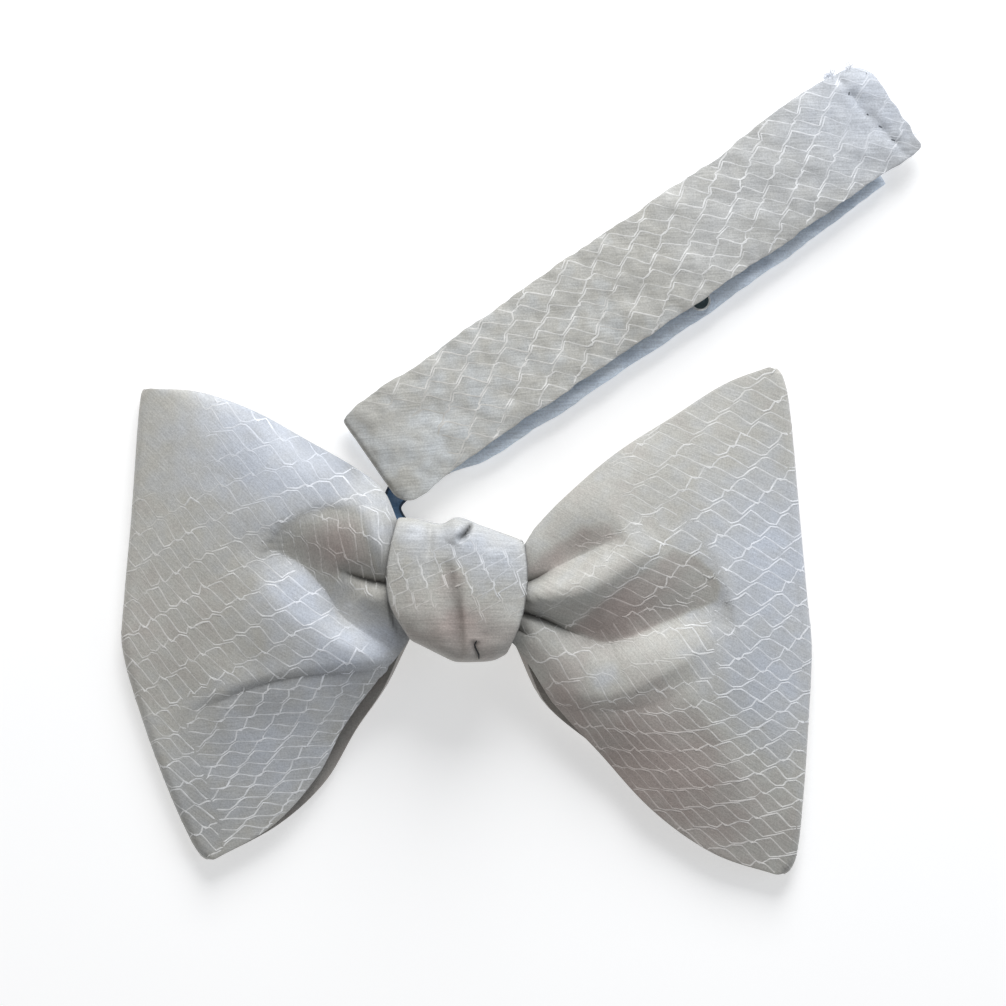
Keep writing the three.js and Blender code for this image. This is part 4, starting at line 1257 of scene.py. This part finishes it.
# Areas of the wings' patches, which meet at sharp folds
LEFT_POCKET_AREA = [
    (-41.4, 10.6), (-34.3, 15.6), (-24.4, 18.0), (-15.0, 18.3), (-9.0, 17.0), (-9.0, -1.0), (-16.0, -1.5),
    (-23.3, -2.6), (-34.3, 2.9),
]
LEFT_LOWER_AREA = [
    (-8.0, -13.0), (-16.0, -16.0), (-28.6, -18.2), (-42.0, -20.2), (-55.4, -22.4), (-60.8, -25.4),
    (-58.5, -32.3), (-55.4, -40.7), (-53.0, -49.0), (-50.8, -61.0), (-50.0, -70.0), (0.0, -70.0),
]
RIGHT_MIDDLE_AREA = [
    (8.0, 4.0), (16.3, 4.5), (26.2, 7.0), (37.8, 12.1), (50.4, 16.1), (57.0, 5.1), (56.5, -3.5), (46.0, -1.5),
    (37.5, -5.0), (29.0, -10.6), (18.5, -6.0), (8.0, -4.0),
]
RIGHT_LOWER_AREA = [
    (8.0, -4.0), (18.5, -6.0), (29.0, -10.6), (37.5, -5.0), (46.0, -1.5), (56.5, -3.5), (57.0, -22.4),
    (42.7, -25.7), (27.3, -26.0), (10.0, -19.0),
]


# Seeds of each cloth's own chances
SEEDS = {
    "left": 41, "right": 61, "back": 9, "knot": 77, "knot_show": 14, "band": 91, "band_show": 31, "frays": 12,
}
# Share of the front's and of the back's rows that is the neck inside the knot
FRONT_NECK = 0.15
BACK_NECK = 0.16


def wing(side, front, back, folds, painted_tints, dull, hollows, fades, patches):
    """One wing: its cloth and the net's threads on its front and back."""
    places = wing_places(side, front, back, folds)
    x, y = places[..., 0], places[..., 1]
    sign, seed = -1 if side == "left" else 1, SEEDS[side]
    row, front_rows = row_numbers(places), FRONT_STEPS + FOLD_STEPS // 2
    on_front = row <= front_rows
    beyond = run_lengths(places)
    beyond = np.maximum(beyond - beyond[FRONT_STEPS], 0)
    unrolled_x = np.where(row <= FRONT_STEPS, x, x[FRONT_STEPS] + sign * beyond)
    # Painted light and shade in the front's tone: the tints, and the hollows' browner painted shade
    hollow_tone, hollow_painted_shade = hollow_marks(hollows, x, y)
    tones = PLAIN_TONE + (soft_patches(x, y, painted_tints) + hollow_tone) * on_front
    tones -= BACK_BROWNER * (row > front_rows + 2)

    steps = [net_map(eyes)(unrolled_x, y) for eyes, _ in patches]
    chosen = np.zeros(x.shape, dtype=int)
    for index, (_, area) in enumerate(patches):
        if area:
            chosen[area_inside(area, x, y) & on_front] = index
    weave = np.choose(chosen[..., None], [found * NET_SCALE for found in steps])
    # Painted shade: creases, shade patches and hollows on the front, and the knot's contact shadow beside its
    # rims
    shades = (crease_shade(folds, x, y) + soft_patches(x, y, dull) + hollow_painted_shade) * on_front
    shades += KNOT_LINE_PAINTED_SHADE * beside_knot(x, y, KNOT_LINE_WIDTH)
    piece = cloth_piece(f"{side}_wing_cloth", places, weave, tones, shades, WING_CLOTH)
    dress(piece, wing_satin, f"{side}_wing")

    normals = outward_normals(places, FRONT_STEPS // 2)
    cloth = (places + normals * WING_CLOTH / 2, normals, tones)
    show = cloth_show(x, y, fades, seed) * (1 - beside_knot(x, y, NET_CLEAR_OF_KNOT))
    front_area = (row <= front_rows + 3) & (row > FRONT_NECK * FRONT_STEPS)
    back_area = (row > FRONT_STEPS + FOLD_STEPS) & (row < len(places) - BACK_NECK * BACK_STEPS)
    nets = []
    for index, found in enumerate(steps):
        name, inside = f"{side}_wing_net_{'abc'[index]}", front_area & (chosen == index)
        nets.append(net_threads(name, cloth, found, inside, show, SLANTED_EYE, seed + index))
    name, found = f"{side}_wing_back_net", net_map(even_eyes(sign * BACK_EYES_FROM))(x, y)
    evenly = np.ones_like(x)
    nets.append(net_threads(name, cloth, found, back_area, evenly, SLANTED_EYE, seed + SEEDS["back"]))
    return piece, nets


left_wing, left_nets = wing(
    "left", LEFT_FRONT, LEFT_BACK, LEFT_FOLDS, LEFT_PAINTED_LIGHT, LEFT_PAINTED_SHADE, LEFT_HOLLOWS, LEFT_FADES,
    [(LEFT_UPPER_EYES, None), (LEFT_POCKET_EYES, LEFT_POCKET_AREA), (LEFT_LOWER_EYES, LEFT_LOWER_AREA)],
)
right_wing, right_nets = wing(
    "right", RIGHT_FRONT, RIGHT_BACK, RIGHT_FOLDS, RIGHT_PAINTED_LIGHT, RIGHT_PAINTED_SHADE, RIGHT_HOLLOWS, RIGHT_FADES,
    [(RIGHT_OUTER_EYES, None), (RIGHT_MIDDLE_EYES, RIGHT_MIDDLE_AREA), (RIGHT_LOWER_EYES, RIGHT_LOWER_AREA)],
)


def knot():
    """The knot's wrap, the net on it and the hand stitch at its foot."""
    places = knot_places()
    x, y = places[..., 0], places[..., 1]
    peak = KNOT_ROUND_STEPS // 4
    around = run_lengths(places)
    unrolled_y = y[peak] - (around - around[peak])
    steps = net_map(KNOT_EYES)(x, unrolled_y)
    # Painted light and shade: tints that grow with height, painted shade in the creases, and dark rims for
    # the contact shadow
    height = (places[..., 2] - KNOT_TINT_FOOT) / KNOT_TINT_RISE
    tones = PLAIN_TONE + soft_patches(x, y, KNOT_PAINTED_LIGHT) * np.clip(height, 0, 1)
    shades = crease_shade(KNOT_FOLDS, x, y) * np.clip(height * 2 - 0.6, 0, 1)
    shades[:, [0, -1]] = KNOT_LINE_PAINTED_SHADE
    weave = np.stack([-unrolled_y, x], -1)
    piece = cloth_piece("knot_cloth", places, weave, tones, shades, KNOT_CLOTH, -1, closed=True)
    dress(piece, knot_satin, "knot")
    normals = outward_normals(places, peak)
    show = cloth_show(x, y, KNOT_FADES, SEEDS["knot_show"])
    cloth, everywhere = (places, normals, tones), np.ones(x.shape, bool)
    net = net_threads("knot_net", cloth, steps, everywhere, show, UPRIGHT_EYE, SEEDS["knot"])
    hook = strand_mesh("hand_stitch", [stitch(places, normals, HAND_STITCH, *HAND_STITCH_SIZE)], dark_thread)
    return piece, [net, hook]


def band():
    """The neck band, the net on its top run, its hem stitches and its frayed threads."""
    places = band_places()
    x, y = places[..., 0], places[..., 1]
    row, across = row_numbers(places), np.abs(np.linspace(-1, 1, places.shape[1]))[None, :]
    along, beside = from_band_line(x, y)
    steps = net_map(BAND_EYES)(x, y)
    # Painted shade: blues on the lower runs and the root; the top run's tints are painted light and shade
    root_row = len(places) - ROOT_SHARE * 2 * LOWER_RUN_STEPS
    under = UNDER_TONE * (1 - blend_step(root_row - ROOT_BLEND, root_row + ROOT_BLEND, row))
    on_top = row <= TOP_RUN_STEPS + TURN_STEPS // 2
    tones = np.where(on_top, PLAIN_TONE + soft_patches(x, y, BAND_PAINTED_LIGHT), under)
    # Painted shade at the root's edges and in the puckers beside the hem stitches
    pucker_along = HEM_ALONG + PUCKER_REACH
    puckers = [(pucker_along + HEM_SLANT * at, at - 0.2, PUCKER_REACH, PUCKER_PAINTED_SHADE) for at in HEM_STITCHES]
    shades = ROOT_EDGE_PAINTED_SHADE * (across > ROOT_EDGE) * (row > root_row)
    shades = shades + soft_patches(along, beside, puckers) * (row < TOP_RUN_STEPS)
    piece = cloth_piece("neck_band_cloth", places, steps * NET_SCALE, tones, shades, BAND_CLOTH)
    dress(piece, band_satin, "neck_band")
    normals = outward_normals(places, TOP_RUN_STEPS // 2)
    skin = places + normals * BAND_CLOTH / 2
    top_run = slice(0, TOP_RUN_STEPS + 1)
    show = cloth_show(x, y, BAND_FADES, SEEDS["band_show"])
    net = net_threads(
        "neck_band_net", (skin, normals, tones), steps, row <= TOP_RUN_STEPS, show, UPRIGHT_EYE, SEEDS["band"]
    )
    return piece, [net, *hem_and_frays(skin[top_run], normals[top_run])]


def press_stud():
    """Dark press stud: a bevelled disc with a raised rim and a low dome."""
    height = MIDDLE_RUN_Z + BAND_CLOTH / 2 + STUD_GAP + STUD["height"] / 2
    place = in_frame(band_point(STUD["along"], STUD["beside"], height))
    bpy.ops.object.select_all(action="DESELECT")
    bpy.ops.mesh.primitive_cylinder_add(
        vertices=STUD_SIDES, radius=STUD["radius"] * MM, depth=STUD["height"] * MM, location=place
    )
    stud = bpy.context.object
    stud.name = "press_stud"
    bpy.ops.object.mode_set(mode="EDIT")
    bpy.ops.mesh.select_all(action="DESELECT")
    bpy.ops.object.mode_set(mode="OBJECT")
    for face in stud.data.polygons:
        face.select = face.normal.z > 0.9
    bpy.ops.object.mode_set(mode="EDIT")
    bpy.ops.mesh.inset(thickness=STUD["rim"] * MM)
    bpy.ops.transform.translate(value=(0, 0, -STUD_DISH * MM))
    bpy.ops.mesh.inset(thickness=(STUD["radius"] - STUD["rim"] - STUD["dome"]) * MM)
    bpy.ops.mesh.inset(thickness=DOME_SLOPE * MM)
    bpy.ops.transform.translate(value=(0, 0, DOME_RISE * MM))
    bpy.ops.object.mode_set(mode="OBJECT")
    edge = stud.modifiers.new("edge", "BEVEL")
    edge.width = STUD_EDGE * MM
    edge.segments = 3
    edge.limit_method = "ANGLE"
    edge.angle_limit = STUD_EDGE_ANGLE
    bpy.ops.object.modifier_apply(modifier="edge")
    bpy.ops.object.transform_apply(location=True, rotation=True, scale=True)
    bpy.ops.object.shade_smooth_by_angle(angle=STUD_EDGE_ANGLE)
    dress(stud, gunmetal, "snap_stud")
    stud.data.materials.append(rim_metal)
    for face in stud.data.polygons:
        beyond = np.hypot(face.center.x - place[0], face.center.y - place[1])
        face.material_index = int(beyond > (STUD["radius"] - STUD["rim"]) * MM)
    return stud


def cloth_spots(places, normals, spots):
    """Places and normals on the upper side of a cloth, under spots seen from above."""
    upper = normals[..., 2] > 0.15
    grid, ups = places[upper], normals[upper]
    found, raised = [], []
    for spot in spots:
        away = np.sum((grid[:, :2] - spot) ** 2, axis=1)
        near = np.argsort(away - 0.08 * grid[:, 2])[:5]
        weight = 1 / (away[near] + 0.02)
        weight /= weight.sum()
        found.append((*spot, weight @ grid[near, 2]))
        up = weight @ ups[near]
        raised.append(up / np.linalg.norm(up))
    return np.array(found), np.array(raised)


def stitch(places, normals, spots, half_width, height, lift, count):
    """A strand laid along spots of a cloth."""
    spots = np.array(spots, dtype=float)
    t = np.linspace(0, len(spots) - 1, count)
    way = np.stack([np.interp(t, np.arange(len(spots)), spots[:, axis]) for axis in (0, 1)], -1)
    points, ups = cloth_spots(places, normals, way)
    taper = 1 - 0.6 * np.abs(np.linspace(-1, 1, count)) ** 4
    return strand_rings(points + ups * lift, ups, half_width * taper, height)


def hem_and_frays(places, normals):
    """Hem stitches in their dents, dark as thread and as painted hole shade, and pale loose threads at the
    free end.
    """
    random = np.random.default_rng(SEEDS["frays"])
    stitches, loose = [], []
    for beside in HEM_STITCHES:
        at = HEM_ALONG + HEM_SLANT * beside + random.uniform(-0.3, 0.3)
        slant, half = random.uniform(-0.3, 0.3), HEM_STITCH_HALF * random.uniform(0.8, 1.7)
        ends = [band_point(at + side * slant, beside + side * half, 0.0)[:2] for side in (-1, 1)]
        stitches.append(stitch(places, normals, ends, *HEM_STITCH_SIZE))
    t = np.linspace(0, 1, FRAY_POINTS)[:, None]
    ups, half_widths = np.tile((0.0, 0.0, 1.0), (FRAY_POINTS, 1)), np.full(FRAY_POINTS, FRAY_HALF_WIDTH)
    for along, beside, spread, count in FRAYS:
        for _ in range(count):
            start = np.array([along, beside, 0.0]) + random.normal(0, spread, 3) * (1, 0.4, 0)
            heading = random.normal(0, 0.6, 3) + (FRAYS_BESIDE if beside > FRAYED_EDGE else FRAYS_ALONG)
            bend = random.normal(0, 0.5, 3)
            length = FRAY_LENGTH * random.uniform(0.5, 1.1)
            way = start + length * (heading / np.linalg.norm(heading) * t + bend * t**2 * 0.5)
            points = band_point(way[:, 0], way[:, 1], TOP_RUN_Z - 0.4 + np.abs(way[:, 2]))
            loose.append(strand_rings(points, ups, half_widths, FRAY_HALF_WIDTH))
    tones = [np.full(len(rings), FRAY_TONE) for rings in loose]
    glows = [np.ones(len(rings)) for rings in loose]
    stitched = strand_mesh("hem_stitches", stitches, hem_thread_and_hole_shade)
    frayed = strand_mesh("frayed_threads", loose, net_thread, tone=tones, glow=glows)
    return [stitched, frayed]


knot_cloth, knot_nets = knot()
band_cloth, band_nets = band()
press_stud()


# Pale paper under the bow tie, and the air of the room
PAPER_GREYS = ((0.68, 0.68, 0.68), (0.71, 0.71, 0.71))
PAPER_GLOW = 0.46
ROOM_COLOUR = (0.95, 0.97, 1.0, 1)
ROOM_STRENGTH = 0.24
# Soft lights: name, place and size in metres, power and colour
LIGHTS = (
    ("window_light", (0.09, 0.76, 0.47), 0.54, 9.4, (0.985, 0.99, 1.0)),
    ("side_light", (1.0, 0.0, 0.40), 0.6, 1.6, (0.80, 0.88, 1.0)),
    ("warm_fill", (-0.8, -0.3, 0.7), 0.8, 1.0, (1.0, 0.96, 0.90)),
)


def pale_floor():
    """Pale paper that the bow tie lies on."""
    bpy.ops.object.select_all(action="DESELECT")
    bpy.ops.mesh.primitive_plane_add(size=3, location=(0, 0, -0.0002))
    floor = bpy.context.object
    floor.name = "pale_floor"
    glow = {"Emission_Color": (1, 1, 1, 1), "Emission_Strength": PAPER_GLOW}
    material, tree, surface = new_material("pale_paper", Roughness=0.9, Specular_IOR_Level=0.1, **glow)
    cloud = noise(tree, Scale=6.0, Detail=2.0)
    tree.links.new(colour_ramp(tree, cloud, *PAPER_GREYS), surface.inputs["Base Color"])
    floor.data.materials.append(material)


def soft_light(name, place, size, power, colour):
    """A large soft light that faces the middle of the bow tie."""
    light = bpy.data.lights.new(name, "AREA")
    light.shape = "SQUARE"
    light.size = size
    light.energy = power
    light.color = colour
    lamp = bpy.data.objects.new(name, light)
    bpy.context.scene.collection.objects.link(lamp)
    lamp.location = place
    lamp.rotation_euler = (-Vector(place)).to_track_quat("-Z", "Y").to_euler()


def studio():
    """Floor, lights and the room's pale air."""
    pale_floor()
    for light in LIGHTS:
        soft_light(*light)
    world = bpy.data.worlds.new("room")
    world.use_nodes = True
    set_inputs(world.node_tree.nodes["Background"], {"Color": ROOM_COLOUR, "Strength": ROOM_STRENGTH})
    bpy.context.scene.world = world
    bpy.context.scene.view_settings.view_transform = "Standard"


# Camera straight above, level with the photograph's frame
VIEW_CENTRE = (10.34, 18.7)
VIEW_WIDTH = 221.3
CAMERA_HEIGHT = 1800
MIDDLE_HEIGHT = 8
SENSOR_WIDTH = 36


def camera():
    """Camera whose frame is the view's width at the bow tie's middle height."""
    data = bpy.data.cameras.new("camera")
    data.sensor_width = SENSOR_WIDTH
    data.lens = SENSOR_WIDTH * (CAMERA_HEIGHT - MIDDLE_HEIGHT) / VIEW_WIDTH
    data.clip_start, data.clip_end = 0.1, 10
    held = bpy.data.objects.new("camera", data)
    bpy.context.scene.collection.objects.link(held)
    held.location = in_frame((*VIEW_CENTRE, CAMERA_HEIGHT))
    bpy.context.scene.camera = held


studio()
camera()
